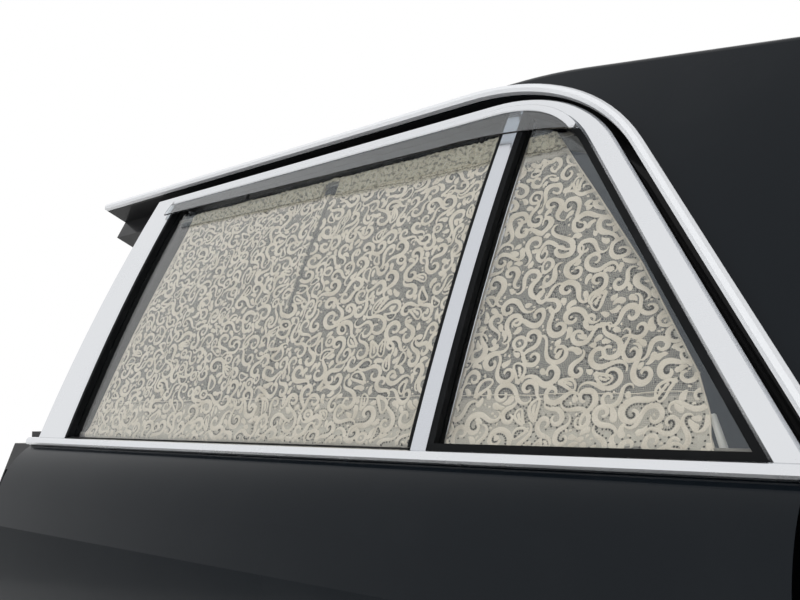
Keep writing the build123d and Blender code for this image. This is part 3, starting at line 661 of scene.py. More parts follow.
@dataclass(frozen=True)
class WindowSide:
    """The leaning, slightly curved side that the window frame, glass and curtains follow."""

    base_y: float = -82 * MM
    belt_z: float = 750 * MM
    lean: float = math.radians(22.0)
    radius: float = 2600 * MM
    top: float = 407 * MM
    top_trim: float = 15 * MM
    slope_trim: float = 23 * MM
    inner_corner: float = 140 * MM
    pane_front: Lean = Lean(-457 * MM, 0.108)
    slope: Lean = Lean(543 * MM, (300 - 543) / 407)

    @property
    def pane_top(self) -> float:
        """Height of the opening's top edge above the belt."""
        return self.top - self.top_trim

    @property
    def pane_rear(self) -> Lean:
        """Line of the opening's sloping rear edge."""
        return self.slope.moved(-self.slope_trim)

    def points(self, x: np.ndarray, up: np.ndarray, out: np.ndarray) -> np.ndarray:
        """Points on the side.

        Args:
            x: place along the vehicle.
            up: distance up from the belt, along the side.
            out: distance outward from the bright trim's face.

        Returns:
            One row of X, Y and Z for each point.
        """
        middle = self.top / 2
        half = math.sqrt(self.radius**2 - middle**2)
        centre_y = self.base_y + middle * math.sin(self.lean) + half * math.cos(self.lean)
        centre_z = self.belt_z + middle * math.cos(self.lean) - half * math.sin(self.lean)
        x, up, out = np.broadcast_arrays(np.asarray(x, float), up, out)
        turn = self.lean + (up - middle) / self.radius
        reach = self.radius + out
        return np.stack([x, centre_y - reach * np.cos(turn), centre_z + reach * np.sin(turn)], axis=-1)

    def point(self, x: float, up: float, out: float) -> Vector:
        """One point on the side."""
        return Vector(self.points(np.array(x), np.array(up), np.array(out)))

    @property
    def corner_start(self) -> float:
        """X where the opening's straight top edge ends and its round corner starts.

        Returns:
            The place along the side.
        """
        slope = self.pane_rear
        turn = math.atan2(1.0, -slope.per_up)
        return slope.at(self.pane_top) - self.inner_corner * (1 - math.cos(turn)) / math.sin(turn)


side = WindowSide()


def walked(line: np.ndarray) -> np.ndarray:
    """Distance walked along a line up to each of its points."""
    return np.concatenate([[0.0], np.cumsum(np.linalg.norm(np.diff(line, axis=0), axis=1))])


@dataclass
class Draft:
    """A mesh in the making.

    Tubes lay out their sides from the guide, which leans about as the window does.
    """

    points: list[np.ndarray] = field(default_factory=list)
    faces: list[tuple[int, ...]] = field(default_factory=list)
    flat: list[np.ndarray] = field(default_factory=list)
    count: int = 0
    guide: Triple = (0.0, 0.35, 0.94)

    def add(self, points: np.ndarray, faces: Iterable[Sequence[int]], flat: np.ndarray | None = None) -> None:
        """Add a patch.

        Args:
            points: its vertices, one row each.
            faces: its faces, counted from its own first vertex.
            flat: place of each vertex on the flat cloth, in millimetres.
        """
        points = np.asarray(points, float).reshape(-1, 3)
        flat = np.zeros((len(points), 2)) if flat is None else np.asarray(flat, float)
        self.points.append(points)
        self.flat.append(flat.reshape(-1, 2))
        self.faces += [tuple(self.count + i for i in face) for face in faces]
        self.count += len(points)

    def grid(self, rows: np.ndarray, closed: bool = False, flat: np.ndarray | None = None) -> None:
        """Add a grid of quads.

        Args:
            rows: vertices as rows by columns by 3.
            closed: whether the last column joins the first.
            flat: place of each vertex on the flat cloth.
        """
        height, width = rows.shape[:2]
        last = width if closed else width - 1
        faces = []
        for low in range(0, (height - 1) * width, width):
            high = low + width
            for here in range(last):
                after = (here + 1) % width
                faces.append((low + here, low + after, high + after, high + here))
        self.add(rows.reshape(-1, 3), faces, flat)

    def closed_grid(self, rows: np.ndarray) -> None:
        """Add a grid of closed rings with both ends capped.

        Args:
            rows: vertices as rings by corners by 3.
        """
        start = self.count
        self.grid(rows, closed=True)
        around = rows.shape[1]
        self.faces.append(tuple(start + i for i in reversed(range(around))))
        self.faces.append(tuple(self.count - around + i for i in range(around)))

    def tube(self, path: np.ndarray, radius: float, sides: int = 8, squash: float = 1.0) -> None:
        """Add a round bar with closed ends.

        Args:
            path: points of its centre line.
            radius: its radius.
            sides: corners round its section.
            squash: its depth as a share of its width.
        """
        path = np.asarray(path, float)
        along = np.gradient(path, axis=0)
        along /= np.linalg.norm(along, axis=1)[:, None]
        across = np.cross(along, self.guide)
        across /= np.linalg.norm(across, axis=1)[:, None]
        upward = np.cross(across, along)
        turn = np.linspace(0, 2 * math.pi, sides, endpoint=False)
        rings = (
            path[:, None] + across[:, None] * (radius * squash * np.cos(turn))[None, :, None]
            + upward[:, None] * (radius * np.sin(turn))[None, :, None]
        )
        self.closed_grid(rings)

    def piece(
        self, name: str, finish: Finish, slot: Slot, body: Body = Body.DOOR, smooth: bool = True,
    ) -> bpy.types.Object:
        """Make the object and let it ride.

        Args:
            name: the piece's name.
            finish: its finish.
            slot: the record's material slot; not used.
            body: the body that it rides on.
            smooth: whether its faces shade smoothly.

        Returns:
            The new object.
        """
        mesh = bpy.data.meshes.new(name)
        mesh.from_pydata(np.concatenate(self.points).tolist(), [], self.faces)
        self.map_onto(mesh, "Cloth", np.concatenate(self.flat))
        mesh.polygons.foreach_set("use_smooth", [smooth] * len(mesh.polygons))
        mesh.materials.append(finish.material())
        mesh.validate()
        made = bpy.data.objects.new(name, mesh)
        bpy.context.scene.collection.objects.link(made)
        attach(made, body.value)
        log.info("piece %s: %d faces on %s", name, len(mesh.polygons), body.value)
        return made

    @staticmethod
    def map_onto(mesh: bpy.types.Mesh, name: str, values: np.ndarray) -> None:
        """Give a mesh a map of two numbers for each vertex.

        Args:
            mesh: the mesh.
            name: the map's name.
            values: one row of two numbers for each vertex.
        """
        corners = np.zeros(len(mesh.loops), int)
        mesh.loops.foreach_get("vertex_index", corners)
        layer = mesh.uv_layers.new(name=name)
        layer.data.foreach_set("uv", values.reshape(-1, 2)[corners].reshape(-1))


# Camera, light and floor


@dataclass(frozen=True)
class Lamp:
    """A square soft lamp: its name, where it hangs, its width and its power in watts."""

    name: str
    place: Triple
    size: float
    watts: float

    def hang(self, aim: Vector) -> None:
        """Hang the lamp where no ray but the light's own meets it.

        Args:
            aim: what it points at.
        """
        light = bpy.data.lights.new(self.name, "AREA")
        light.size = self.size
        light.energy = self.watts
        lamp = bpy.data.objects.new(self.name, light)
        lamp.location = self.place
        lamp.rotation_euler = (aim - Vector(self.place)).to_track_quat("-Z", "Y").to_euler()
        lamp.visible_camera = False
        lamp.visible_glossy = False
        lamp.visible_transmission = False
        bpy.context.scene.collection.objects.link(lamp)


@dataclass(frozen=True)
class Studio:
    """Camera of the view, soft lamps, pale floor and the dark card behind the panes, painted shade standing
    for the cabin.
    """

    focal_pixels: float = 850.0
    image_width: float = 800.0
    sensor: float = 36.0
    yaw: float = 0.71543
    pitch: float = 0.13170
    roll: float = -0.0029
    eye: Triple = (0.7133, -0.6931, 0.7845)
    near_limit: float = 10 * MM
    ambient: float = 0.55
    aim: Triple = (0.0, -0.05, 0.75)
    lamps: tuple[Lamp, ...] = (
        Lamp("key", (1.6, -3.4, 3.2), 2.6, 95.0),
        Lamp("fill", (-3.0, -2.6, 1.8), 2.6, 45.0),
        Lamp("back", (0.4, 3.2, 2.6), 2.6, 70.0),
    )
    floor_half: float = 30.0
    floor_drop: float = 1 * MM
    floor_fade: Pair = (1.3, 4.5)
    floor_colour: Colour = (0.82, 0.82, 0.81)
    card_low: Triple = (-1.6, 0.16, 0.1)
    card_high: Triple = (1.6, 1.5, 2.2)
    # Colour of the cabin card: painted shade of the cabin behind the panes
    cabin_shade_colour: Colour = (0.012, 0.020, 0.030)

    def camera(self) -> None:
        """Place the camera."""
        ahead = Vector((
            -math.sin(self.yaw) * math.cos(self.pitch), math.cos(self.yaw) * math.cos(self.pitch),
            math.sin(self.pitch),
        ))
        right = Vector((math.cos(self.yaw), math.sin(self.yaw), 0.0))
        up = right.cross(ahead)
        tilt_right = right * math.cos(self.roll) + up * math.sin(self.roll)
        tilt_up = up * math.cos(self.roll) - right * math.sin(self.roll)
        lens = bpy.data.cameras.new("camera")
        lens.sensor_width = self.sensor
        lens.lens = self.focal_pixels / self.image_width * self.sensor
        lens.clip_start = self.near_limit
        eye = bpy.data.objects.new("camera", lens)
        turn = Matrix((tilt_right, tilt_up, -ahead)).transposed().to_4x4()
        eye.matrix_world = Matrix.Translation(self.eye) @ turn
        bpy.context.scene.collection.objects.link(eye)
        bpy.context.scene.camera = eye

    def world(self) -> None:
        """White surroundings for what is seen, mirrored or seen through, and a plain level for the light."""
        world = bpy.data.worlds.new("surroundings")
        world.use_nodes = True
        nodes = Nodes(world.node_tree)
        rays = nodes.add("ShaderNodeLightPath").outputs
        seen = Value(nodes, rays["Is Camera Ray"])
        for kind in ("Is Glossy Ray", "Is Transmission Ray"):
            seen = seen.maximum(rays[kind])
        limits = {"Value": seen, "To Min": self.ambient, "To Max": 1.0}
        level = nodes.add("ShaderNodeMapRange", None, limits).outputs[0]
        sky = nodes.add("ShaderNodeBackground", None, {"Color": (1.0, 1.0, 1.0), "Strength": level})
        nodes.add("ShaderNodeOutputWorld", None, {"Surface": sky.outputs[0]})
        bpy.context.scene.world = world

    def plain(self, name: str, colour: Colour) -> Shader:
        """Matt shader of the floor or the card.

        Args:
            name: the material's name.
            colour: its colour, with faint darker patches.

        Returns:
            The shader.
        """
        shader = Shader(name)
        shade = shader.noise(shader.place(), 3.0)
        darker = tuple(0.95 * level for level in colour)
        shader.set(Base_Color=shader.blend(shade * 0.3, colour, darker), Roughness=0.9)
        return shader

    def floor_material(self) -> bpy.types.Material:
        """Pale floor that passes into the white surroundings away from the object.

        Returns:
            The material.
        """
        shader = self.plain("floor", self.floor_colour)
        length = shader.add("ShaderNodeVectorMath", {"operation": "LENGTH"}, {0: shader.place()})
        away = Value(shader, length.outputs["Value"])
        seen = Value(shader, shader.add("ShaderNodeLightPath").outputs["Is Camera Ray"])
        white = shader.add("ShaderNodeEmission", None, {"Color": (1.0, 1.0, 1.0), "Strength": 1.0})
        mixed = shader.add("ShaderNodeMixShader", None, {
            0: away.step(*self.floor_fade) * seen, 1: shader.surface.outputs[0], 2: white.outputs[0],
        })
        shader.plug(shader.output.inputs["Surface"], mixed.outputs[0])
        return shader.material

    def floor(self) -> None:
        """Lay the pale floor."""
        half = self.floor_half
        mesh = bpy.data.meshes.new("floor")
        corners = [(-half, -half, 0), (half, -half, 0), (half, half, 0), (-half, half, 0)]
        mesh.from_pydata(corners, [], [(0, 1, 2, 3)])
        mesh.materials.append(self.floor_material())
        floor = bpy.data.objects.new("floor", mesh)
        floor.location.z = -self.floor_drop
        bpy.context.scene.collection.objects.link(floor)

    def cabin_shade_card(self) -> None:
        """Hang a dark tent on the cabin side that only rays through the panes meet: painted shade standing
        for the unlit cabin.
        """
        xs, ys, zs = zip(self.card_low, self.card_high)
        corners = [(x, y, z) for x in xs for y in ys for z in zs]
        walls = [(2, 3, 7, 6), (0, 1, 3, 2), (4, 6, 7, 5), (1, 5, 7, 3), (0, 2, 6, 4)]
        mesh = bpy.data.meshes.new("cabin_shade_card")
        mesh.from_pydata(corners, [], walls)
        mesh.materials.append(self.plain("cabin_shade_card", self.cabin_shade_colour).material)
        card = bpy.data.objects.new("cabin_shade_card", mesh)
        for ray in ("camera", "diffuse", "glossy", "shadow", "volume_scatter"):
            setattr(card, f"visible_{ray}", False)
        bpy.context.scene.collection.objects.link(card)

    def build(self) -> None:
        """Set the whole scene."""
        self.camera()
        self.world()
        self.floor()
        self.cabin_shade_card()
        for lamp in self.lamps:
            lamp.hang(Vector(self.aim))
        bpy.context.scene.view_settings.view_transform = "Standard"


# Lace


class Motif(Enum):
    """Ornaments of the lace."""

    SCROLL = "scroll"
    DROP = "drop"
    ROSETTE = "rosette"
    COMMA = "comma"
    BUD = "bud"


@dataclass(frozen=True)
class Stroke:
    """One corded line of the lace, flat, with its width at each point."""

    line: np.ndarray
    width: np.ndarray
    eyelets: bool = False

    def placed(self, centre: np.ndarray, turn: float, size: float, flip: bool) -> "Stroke":
        """The stroke turned, sized and moved to its place.

        Args:
            centre: where its middle goes.
            turn: angle that it is turned by.
            size: factor on its size.
            flip: whether it is mirrored first.

        Returns:
            The placed stroke.
        """
        line = self.line * size * np.array([-1.0 if flip else 1.0, 1.0])
        spin = np.array([[math.cos(turn), -math.sin(turn)], [math.sin(turn), math.cos(turn)]])
        return Stroke(line @ spin.T + centre, self.width * (0.6 + 0.4 * size), self.eyelets)

    def square(self) -> np.ndarray:
        """Direction square to the line at each point.

        Returns:
            One row of two numbers for each point.
        """
        along = np.gradient(self.line, axis=0)
        along /= np.linalg.norm(along, axis=1)[:, None] + 1e-9
        return np.stack([-along[:, 1], along[:, 0]], axis=-1)


@dataclass(frozen=True)
class Sowing:
    """One round of the pattern: which ornaments, how many, how close and how often each is tried."""

    kinds: tuple[Motif, ...]
    density: float
    overlap: float
    margin: float
    tries: int


@dataclass(frozen=True)
class LacePattern:
    """Scrolls, drops, rosettes and commas, sown one after another where there is room.

    A pair holds the limits between which an ornament's size is drawn, in millimetres or as a share. Lengths
    of the scroll are in millimetres too.
    """

    seed: int = 11
    pitch: float = 25 * MM
    cord: float = 4.5 * MM
    cell: float = 1.0 * MM
    size_swing: Pair = (0.8, 1.12)
    cord_swing: Pair = (0.78, 1.12)
    scroll_step: float = 1.5
    scroll_length: Pair = (54, 78)
    scroll_eye: float = 2.7
    scroll_growth: float = 0.21
    tail_from: float = 0.62
    tail_bend: Pair = (7, 11)
    drop_length: Pair = (9, 12)
    drop_width: Pair = (6.2, 7.4)
    drop_bow: float = 3.0 * MM
    rim_swing: Pair = (0.55, 0.8)
    veined_share: float = 0.45
    ring_reach: Pair = (5.8, 6.8)
    comma_steps: tuple[int, int] = (8, 15)
    comma_step: float = 1.2 * MM
    comma_bend: Pair = (6.0, 12.0)
    dot_swing: Pair = (0.8, 1.2)
    dot_half: float = 1.2
    dot_widths: tuple[float, ...] = (1.6, 3.2, 3.7, 3.2, 1.6)
    rounds: tuple[Sowing, ...] = (
        Sowing((Motif.SCROLL,), 2.4, 0.10, 0.9 * MM, 7),
        Sowing((Motif.DROP, Motif.ROSETTE, Motif.DROP, Motif.SCROLL), 4.6, 0.12, 0.7 * MM, 5),
        Sowing((Motif.COMMA, Motif.DROP), 9.0, 0.12, 0.5 * MM, 3),
        Sowing((Motif.COMMA,), 14.0, 0.12, 0.4 * MM, 2),
        Sowing((Motif.BUD,), 9.0, 0.04, 0.5 * MM, 1),
    )

    def rounded(self, width: np.ndarray, step: float) -> np.ndarray:
        """Widths of a stroke with both ends rounded off.

        Args:
            width: its width at each point.
            step: distance between two points.

        Returns:
            The new widths.
        """
        walk = np.arange(len(width)) * step
        half = width.max() / 2
        near = np.clip(np.minimum(walk, walk[::-1]) / half, 0, 1)
        return width * np.sqrt(np.clip(1 - (1 - near) ** 2, 0.05, 1))

    def bent(self, curl: np.ndarray, step: float, width: np.ndarray, eyelets: bool = False) -> Stroke:
        """A stroke from how sharply it bends at each step.

        Args:
            curl: one over its radius at each point.
            step: distance between two points.
            width: its width at each point.
            eyelets: whether eyelets follow it.

        Returns:
            The stroke, about its own middle.
        """
        heading = np.cumsum(curl) * step
        line = np.cumsum(np.stack([np.cos(heading), np.sin(heading)], axis=-1), axis=0) * step
        line -= (line.max(axis=0) + line.min(axis=0)) / 2
        return Stroke(line, self.rounded(width, step), eyelets)

    def scroll(self, draw: np.random.Generator) -> list[Stroke]:
        """A curl that opens and bends back at its tail.

        Args:
            draw: random numbers.

        Returns:
            Its one stroke.
        """
        length = draw.uniform(*self.scroll_length)
        walk = np.arange(0, length, self.scroll_step)
        share = walk / length
        over = np.clip((share - self.tail_from) / 0.2, 0, 1)
        back = -1 / (draw.uniform(*self.tail_bend) - 5.0 * np.clip(share - 0.8, 0, 1) / 0.2)
        curl = (1 - over) / (self.scroll_eye + self.scroll_growth * walk) + back * over
        swell = 0.66 + 0.72 * np.sin(math.pi * np.clip(share * 1.1 - 0.05, 0, 1)) - 0.3 * share
        width = self.cord * draw.uniform(*self.cord_swing) * swell
        return [self.bent(curl / MM, self.scroll_step * MM, width, True)]

    def drop(self, draw: np.random.Generator) -> list[Stroke]:
        """A bent drop, some with a vein.

        Args:
            draw: random numbers.

        Returns:
            Its rim and its vein.
        """
        turn = np.linspace(0, 2 * math.pi, 34)
        long, wide = draw.uniform(*self.drop_length) * MM, draw.uniform(*self.drop_width) * MM
        x = -long * np.cos(turn)
        y = wide * np.sin(turn) * np.sin(turn / 2) ** 1.2 + self.drop_bow * np.cos(turn) ** 2
        rim = self.cord * draw.uniform(*self.rim_swing) * (1 + 0.3 * np.cos(turn))
        leaf = [Stroke(np.stack([x, y], axis=-1), rim, True)]
        if draw.random() < self.veined_share:
            vein = np.linspace(-0.45, 0.62, 8)
            line = np.stack([vein * long, self.drop_bow * vein**2], axis=-1)
            leaf.append(Stroke(line, self.rounded(np.full(len(vein), self.cord * 0.7), 1.6 * MM)))
        return leaf

    def rosette(self, draw: np.random.Generator) -> list[Stroke]:
        """A ring round a dot.

        Args:
            draw: random numbers.

        Returns:
            The ring and the dot.
        """
        turn = np.linspace(0, 2 * math.pi, 30)
        reach = draw.uniform(*self.ring_reach) * MM
        ring = np.stack([reach * np.cos(turn), reach * np.sin(turn)], axis=-1)
        return [Stroke(ring, np.full(len(turn), self.cord * 0.8), True), *self.bud(draw)]

    def comma(self, draw: np.random.Generator) -> list[Stroke]:
        """A short fat stroke that thins out.

        Args:
            draw: random numbers.

        Returns:
            Its one stroke.
        """
        steps = int(draw.integers(*self.comma_steps))
        share = np.linspace(0, 1, steps)
        curl = np.full(steps, 1 / draw.uniform(*self.comma_bend)) / MM
        return [self.bent(curl, self.comma_step, self.cord * (1.25 * (1 - share) ** 0.6 + 0.35))]

    def bud(self, draw: np.random.Generator) -> list[Stroke]:
        """A dot.

        Args:
            draw: random numbers.

        Returns:
            Its one stroke.
        """
        spread = draw.uniform(*self.dot_swing)
        across = np.linspace(-self.dot_half, self.dot_half, len(self.dot_widths)) * MM * spread
        return [Stroke(np.stack([across, 0 * across], axis=-1), np.array(self.dot_widths) * MM * spread)]

    def covered(
        self, strokes: list[Stroke], low: np.ndarray, shape: tuple[int, int], margin: float,
    ) -> np.ndarray:
        """Cells of the room that strokes cover.

        Args:
            strokes: the strokes.
            low: low corner of the room.
            shape: number of cells along and up.
            margin: how far the strokes are widened.

        Returns:
            Index of each covered cell.
        """
        spots = np.concatenate([s.line for s in strokes])
        reach = np.concatenate([s.width for s in strokes]) / 2 + margin
        widest = int(reach.max() / self.cell) + 2
        span = np.arange(-widest, widest + 1)
        column, row = np.meshgrid(span, span)
        base = np.floor((spots - low) / self.cell).astype(int)
        columns, rows = base[:, 0, None, None] + column, base[:, 1, None, None] + row
        away_x = low[0] + (columns + 0.5) * self.cell - spots[:, 0, None, None]
        away_y = low[1] + (rows + 0.5) * self.cell - spots[:, 1, None, None]
        held = away_x**2 + away_y**2 < (reach**2)[:, None, None]
        held &= (columns >= 0) & (rows >= 0) & (columns < shape[0]) & (rows < shape[1])
        return np.unique(columns[held] * shape[1] + rows[held])

    def strokes(self, low: np.ndarray, high: np.ndarray) -> list[Stroke]:
        """All strokes over a rectangle.

        Args:
            low: its low corner.
            high: its high corner.

        Returns:
            The strokes, not yet cut to the cloth.
        """
        draw = np.random.default_rng(self.seed)
        makers = {
            Motif.SCROLL: self.scroll, Motif.DROP: self.drop, Motif.ROSETTE: self.rosette,
            Motif.COMMA: self.comma, Motif.BUD: self.bud,
        }
        shape = tuple(int(n) for n in np.ceil((high - low) / self.cell))
        taken = np.zeros(shape[0] * shape[1], bool)
        made: list[Stroke] = []
        for sowing in self.rounds:
            for _ in range(int(sowing.density * float(np.prod(high - low)) / self.pitch**2)):
                place = draw.uniform(low, high)
                ornament = makers[sowing.kinds[int(draw.integers(len(sowing.kinds)))]](draw)
                for _ in range(sowing.tries):
                    turn = draw.uniform(0, 2 * math.pi)
                    size = draw.uniform(*self.size_swing)
                    flip = draw.random() < 0.5
                    trial = [stroke.placed(place, turn, size, flip) for stroke in ornament]
                    cells = self.covered(trial, low, shape, sowing.margin)
                    if len(cells) and taken[cells].mean() <= sowing.overlap:
                        taken[self.covered(trial, low, shape, 0.0)] = True
                        made += trial
                        break
        log.info("lace: %d strokes cover %.0f %%", len(made), 100 * taken.mean())
        return made


@dataclass(frozen=True)
class Fold:
    """One standing fold of a curtain: its line, how wide it is on each side and how far it stands out."""

    line: Lean
    front_width: float
    rear_width: float
    rise: float


@dataclass(frozen=True)
class Waves:
    """Waves across the cloth: length and rise of each in millimetres, and how far they wander going up."""

    lines: tuple[Pair, ...]
    wander: float
    wander_length: float


def ramp(over: np.ndarray, width: float) -> np.ndarray:
    """Share from 0 to 1 of how far each value is over a width."""
    return np.clip(over / width, 0, 1)


@dataclass(frozen=True)
class Curtain:
    """A lace curtain gathered on two rods, with its heading, hem and corded pattern.

    Beside the crease the net is doubled: strength, distance from its line and width. The painted shade along
    the crease has a strength and a width, and fades in from a height over a reach.
    """

    name: str
    node: str
    rods: tuple[str, str]
    front: Lean
    rear: tuple[Pair, ...]
    low: float
    high: float
    top_rod: float
    bottom_rod: float
    flat: Pair
    cut_area: float
    folds: tuple[Fold, ...]
    pattern: LacePattern
    seed: int
    heading_edge: tuple[Pair, ...]
    notch: Pair = (0.0, 0.0)
    crease: Lean | None = None
    plain_band: float = 0.0
    crease_low: float = 170 * MM
    crease_cover: Triple = (0.8, 4.5 * MM, 2.6 * MM)
    crease_painted_shade: Pair = (0.6, 1.6 * MM)
    crease_fade: Pair = (90 * MM, 140 * MM)
    hem_high: float = 60 * MM
    hem_dense: float = 31 * MM
    hem_cover: Pair = (0.5, 0.32)
    hem_edge: float = 6.0 * MM
    edge_cover: float = 0.8
    plain_cover: float = 0.72
    depth: float = 24.4 * MM
    layer_gap: float = 1.2 * MM
    rod_bulge: float = 2.7 * MM
    bulge_reach: float = 6.0 * MM
    column: float = 1.7 * MM
    row_pitch: float = 4.2 * MM
    close_rows: int = 26
    gathers: Waves = Waves(((7.3, 0.42), (5.1, 0.3), (11.7, 0.45)), 0.8, 41 * MM)
    sways: Waves = Waves(((96.0, 1.6), (53.0, 1.0), (31.0, 0.45)), 0.9, 150 * MM)
    top_fade: float = 30 * MM
    low_fade: float = 28 * MM
    wave_limits: Pair = (-3.0, 4.2)
    cord_foot: float = 0.12 * MM
    cord_rise: float = 0.75 * MM
    eyelet_pitch: float = 3.7 * MM
    eyelet_radius: float = 0.95 * MM
    eyelet_gap: float = 1.25 * MM
    eyelet_corners: int = 7
    edge_cord: float = 0.7 * MM
    seam_cord: float = 0.5 * MM
    ruches: tuple[Pair, ...] = ((8.4, 0.62), (13.1, 0.5), (5.2, 0.34))
    ruche_slant: float = 20.0
    heading_column: float = 0.9 * MM
    heading_lift: float = 1.3 * MM
    scallop: Pair = (8.2 * MM, 1.4 * MM)
    stitch_pitch: float = 3.4 * MM
    stitch_length: float = 2.3 * MM
    stitch_radius: float = 0.5 * MM

    def edges(self, up: np.ndarray) -> tuple[np.ndarray, np.ndarray]:
        """X of the cloth's front and rear edge at each height."""
        ups, xs = zip(*self.rear)
        return self.front.at_belt + self.front.per_up * up, np.interp(up, ups, xs)

    def heading_low(self, x: np.ndarray) -> np.ndarray:
        """Height of the heading's lower edge at each place along the side."""
        xs, ups = zip(*self.heading_edge)
        return np.interp(x, xs, ups)

    def share(self, x: np.ndarray, up: np.ndarray) -> np.ndarray:
        """Share of the cloth's width at each place."""
        front, rear = self.edges(up)
        return (x - front) / (rear - front)

    def wave(self, x: np.ndarray, up: np.ndarray) -> np.ndarray:
        """How far the folds carry the cloth outward.

        Args:
            x: place along the side.
            up: height above the belt.

        Returns:
            The distance at each place.
        """
        draw = np.random.default_rng(self.seed)
        across = self.share(x, up)
        width = self.rear[0][1] - self.front.at_belt
        near_top = np.exp(-np.clip(self.heading_low(x) - up, 0, None) / self.top_fade)
        near_low = np.exp(-np.clip(up - self.bottom_rod, 0, None) / self.low_fade)
        gathered = near_top + 0.45 * near_low
        loose = (1 - 0.75 * near_top) * (1 - 0.6 * near_low)
        total = np.zeros(np.shape(across))
        for waves, held in ((self.gathers, gathered), (self.sways, loose)):
            for length, rise in waves.lines:
                phase = draw.uniform(0, WAVE_TURN)
                wander = waves.wander * np.sin(up / waves.wander_length + draw.uniform(0, WAVE_TURN))
                total += rise * np.sin(across * width / (length * MM) * WAVE_TURN + phase + wander) * held
        for fold in self.folds:
            off = x - fold.line.at(up)
            reach = np.where(off < 0, fold.front_width, fold.rear_width)
            total += np.exp(-((off / reach) ** 2)) * fold.rise / MM * (0.35 + 0.65 * loose)
        return np.clip(total, *self.wave_limits) * MM

    def bulge(self, up: np.ndarray) -> np.ndarray:
        """How far the rods push the cloth off its middle at each height."""
        near = (np.exp(-((up - rod) / self.bulge_reach) ** 2) for rod in (self.top_rod, self.bottom_rod))
        return self.rod_bulge * sum(near)

    def face(self, x: np.ndarray, up: np.ndarray, lift: np.ndarray | float) -> np.ndarray:
        """Points in front of the cloth.

        Args:
            x: place along the side.
            up: height above the belt.
            lift: distance outward from the cloth.

        Returns:
            One row of X, Y and Z for each point.
        """
        return side.points(x, up, -self.depth + self.bulge(up) + self.wave(x, up) + lift)

    def back(self, x: np.ndarray, up: np.ndarray) -> np.ndarray:
        """Points of the layer that is turned back behind a rod."""
        behind = -self.depth - self.layer_gap - self.bulge(up)
        return side.points(x, up, behind + 0.6 * self.wave(x, up))

    def cover(self, x: np.ndarray, up: np.ndarray) -> np.ndarray:
        """How dense and how dark the net lies along one row.

        Args:
            x: place along the side.
            up: height above the belt.

        Returns:
            Cover and tone of each vertex: cover is below 0 where the net is cut away, tone is 1 for the
            heading's colour and below 0 where painted shade darkens the crease.
        """
        front, rear = self.edges(up)
        over = up - self.heading_low(x)
        hem = self.hem_cover[0] * ramp(self.hem_high - up, 4 * MM)
        hem += self.hem_cover[1] * ramp(self.hem_dense - up, 6 * MM)
        head = ramp(over, 3 * MM)
        border = ramp(self.hem_edge - np.minimum(x - front, rear - x), 2 * MM)
        plain = ramp(over + self.plain_band, 5 * MM) * (self.plain_band > 0)
        cover = np.maximum.reduce([hem, head, border * self.edge_cover, plain * self.plain_cover])
        tone = head
        if self.crease:
            off = x - self.crease.at(up)
            dense, aside, width = self.crease_cover
            cover = np.maximum(cover, dense * np.exp(-((off + aside) / width) ** 2))
            # Painted shade: a dark line along the crease, fading in going up
            deep, half = self.crease_painted_shade
            start, reach = self.crease_fade
            dark = deep * np.exp(-((off / half) ** 2)) * ramp(up - start, reach)
            tone = np.where(tone > 0.1, tone, -dark)
        gap = (x > self.notch[0]) & (x < self.notch[1]) & (over > 3 * MM)
        return np.stack([np.where(gap, -1.0, cover), tone], axis=-1)

    def row(self, up: float, behind: float, across: np.ndarray) -> tuple[np.ndarray, np.ndarray, np.ndarray]:
        """One row of the cloth.

        Args:
            up: its height above the belt.
            behind: 0 on the front layer, 1 on the layer that is turned back, 0.5 at the turn.
            across: share of the width at each vertex.

        Returns:
            The vertices, their places on the flat cloth, and the net's cover and tone.
        """
        heights = np.full(len(across), up)
        front, rear = self.edges(heights)
        x = front + (rear - front) * across
        points = self.face(x, heights, 0.0) * (1 - behind) + self.back(x, heights) * behind
        return points, np.stack([x, heights], axis=-1) / MM, self.cover(x, heights)

    def cloth(self) -> bpy.types.Object:
        """The net from the turned-back hem up the front and over the top rod.

        Returns:
            The net.
        """
        near = np.linspace(0, 1, self.close_rows)
        head = min(up for _, up in self.heading_edge) - 3 * MM
        lower = self.low + 0.5 * MM + near * (self.hem_high - self.low)
        upper = head + near * (self.high - head - 0.5 * MM)
        middle = np.linspace(lower[-1], upper[0], int((upper[0] - lower[-1]) / self.row_pitch))[1:-1]
        layers = (
            (1.0, np.linspace(self.hem_high - 3 * MM, self.low + 1.5 * MM, 10)), (0.5, [self.low]),
            (0.0, [*lower, *middle, *upper]), (0.5, [self.high]),
            (1.0, np.linspace(self.high - 1.5 * MM, head + 6 * MM, 12)),
        )
        across = np.linspace(0, 1, int((self.rear[0][1] - self.front.at_belt) / self.column))
        rows = [self.row(float(up), behind, across) for behind, ups in layers for up in ups]
        points, flats, covers = (np.array(part) for part in zip(*rows))
        draft = Draft()
        draft.grid(points, flat=flats)
        made = draft.piece(f"{self.name}_net", net, Slot.LACE)
        draft.map_onto(made.data, "Cover", covers)
        return made

    def inside(self, line: np.ndarray, margin: float) -> np.ndarray:
        """Which points of a line lie on the cloth, clear of its edges and of the crease's upper part.

        Args:
            line: points on the flat cloth.
            margin: how far they stay off its edges.

        Returns:
            True for each point that does.
        """
        x, up = line.T
        front, rear = self.edges(up)
        top = self.heading_low(x) + 2 * MM - self.plain_band
        held = (x > front + margin) & (x < rear - margin) & (up > self.low + 2.5 * MM) & (up < top)
        if self.crease:
            held &= (np.abs(x - self.crease.at(up)) > 1.3 * MM) | (up < self.crease_low)
        return held

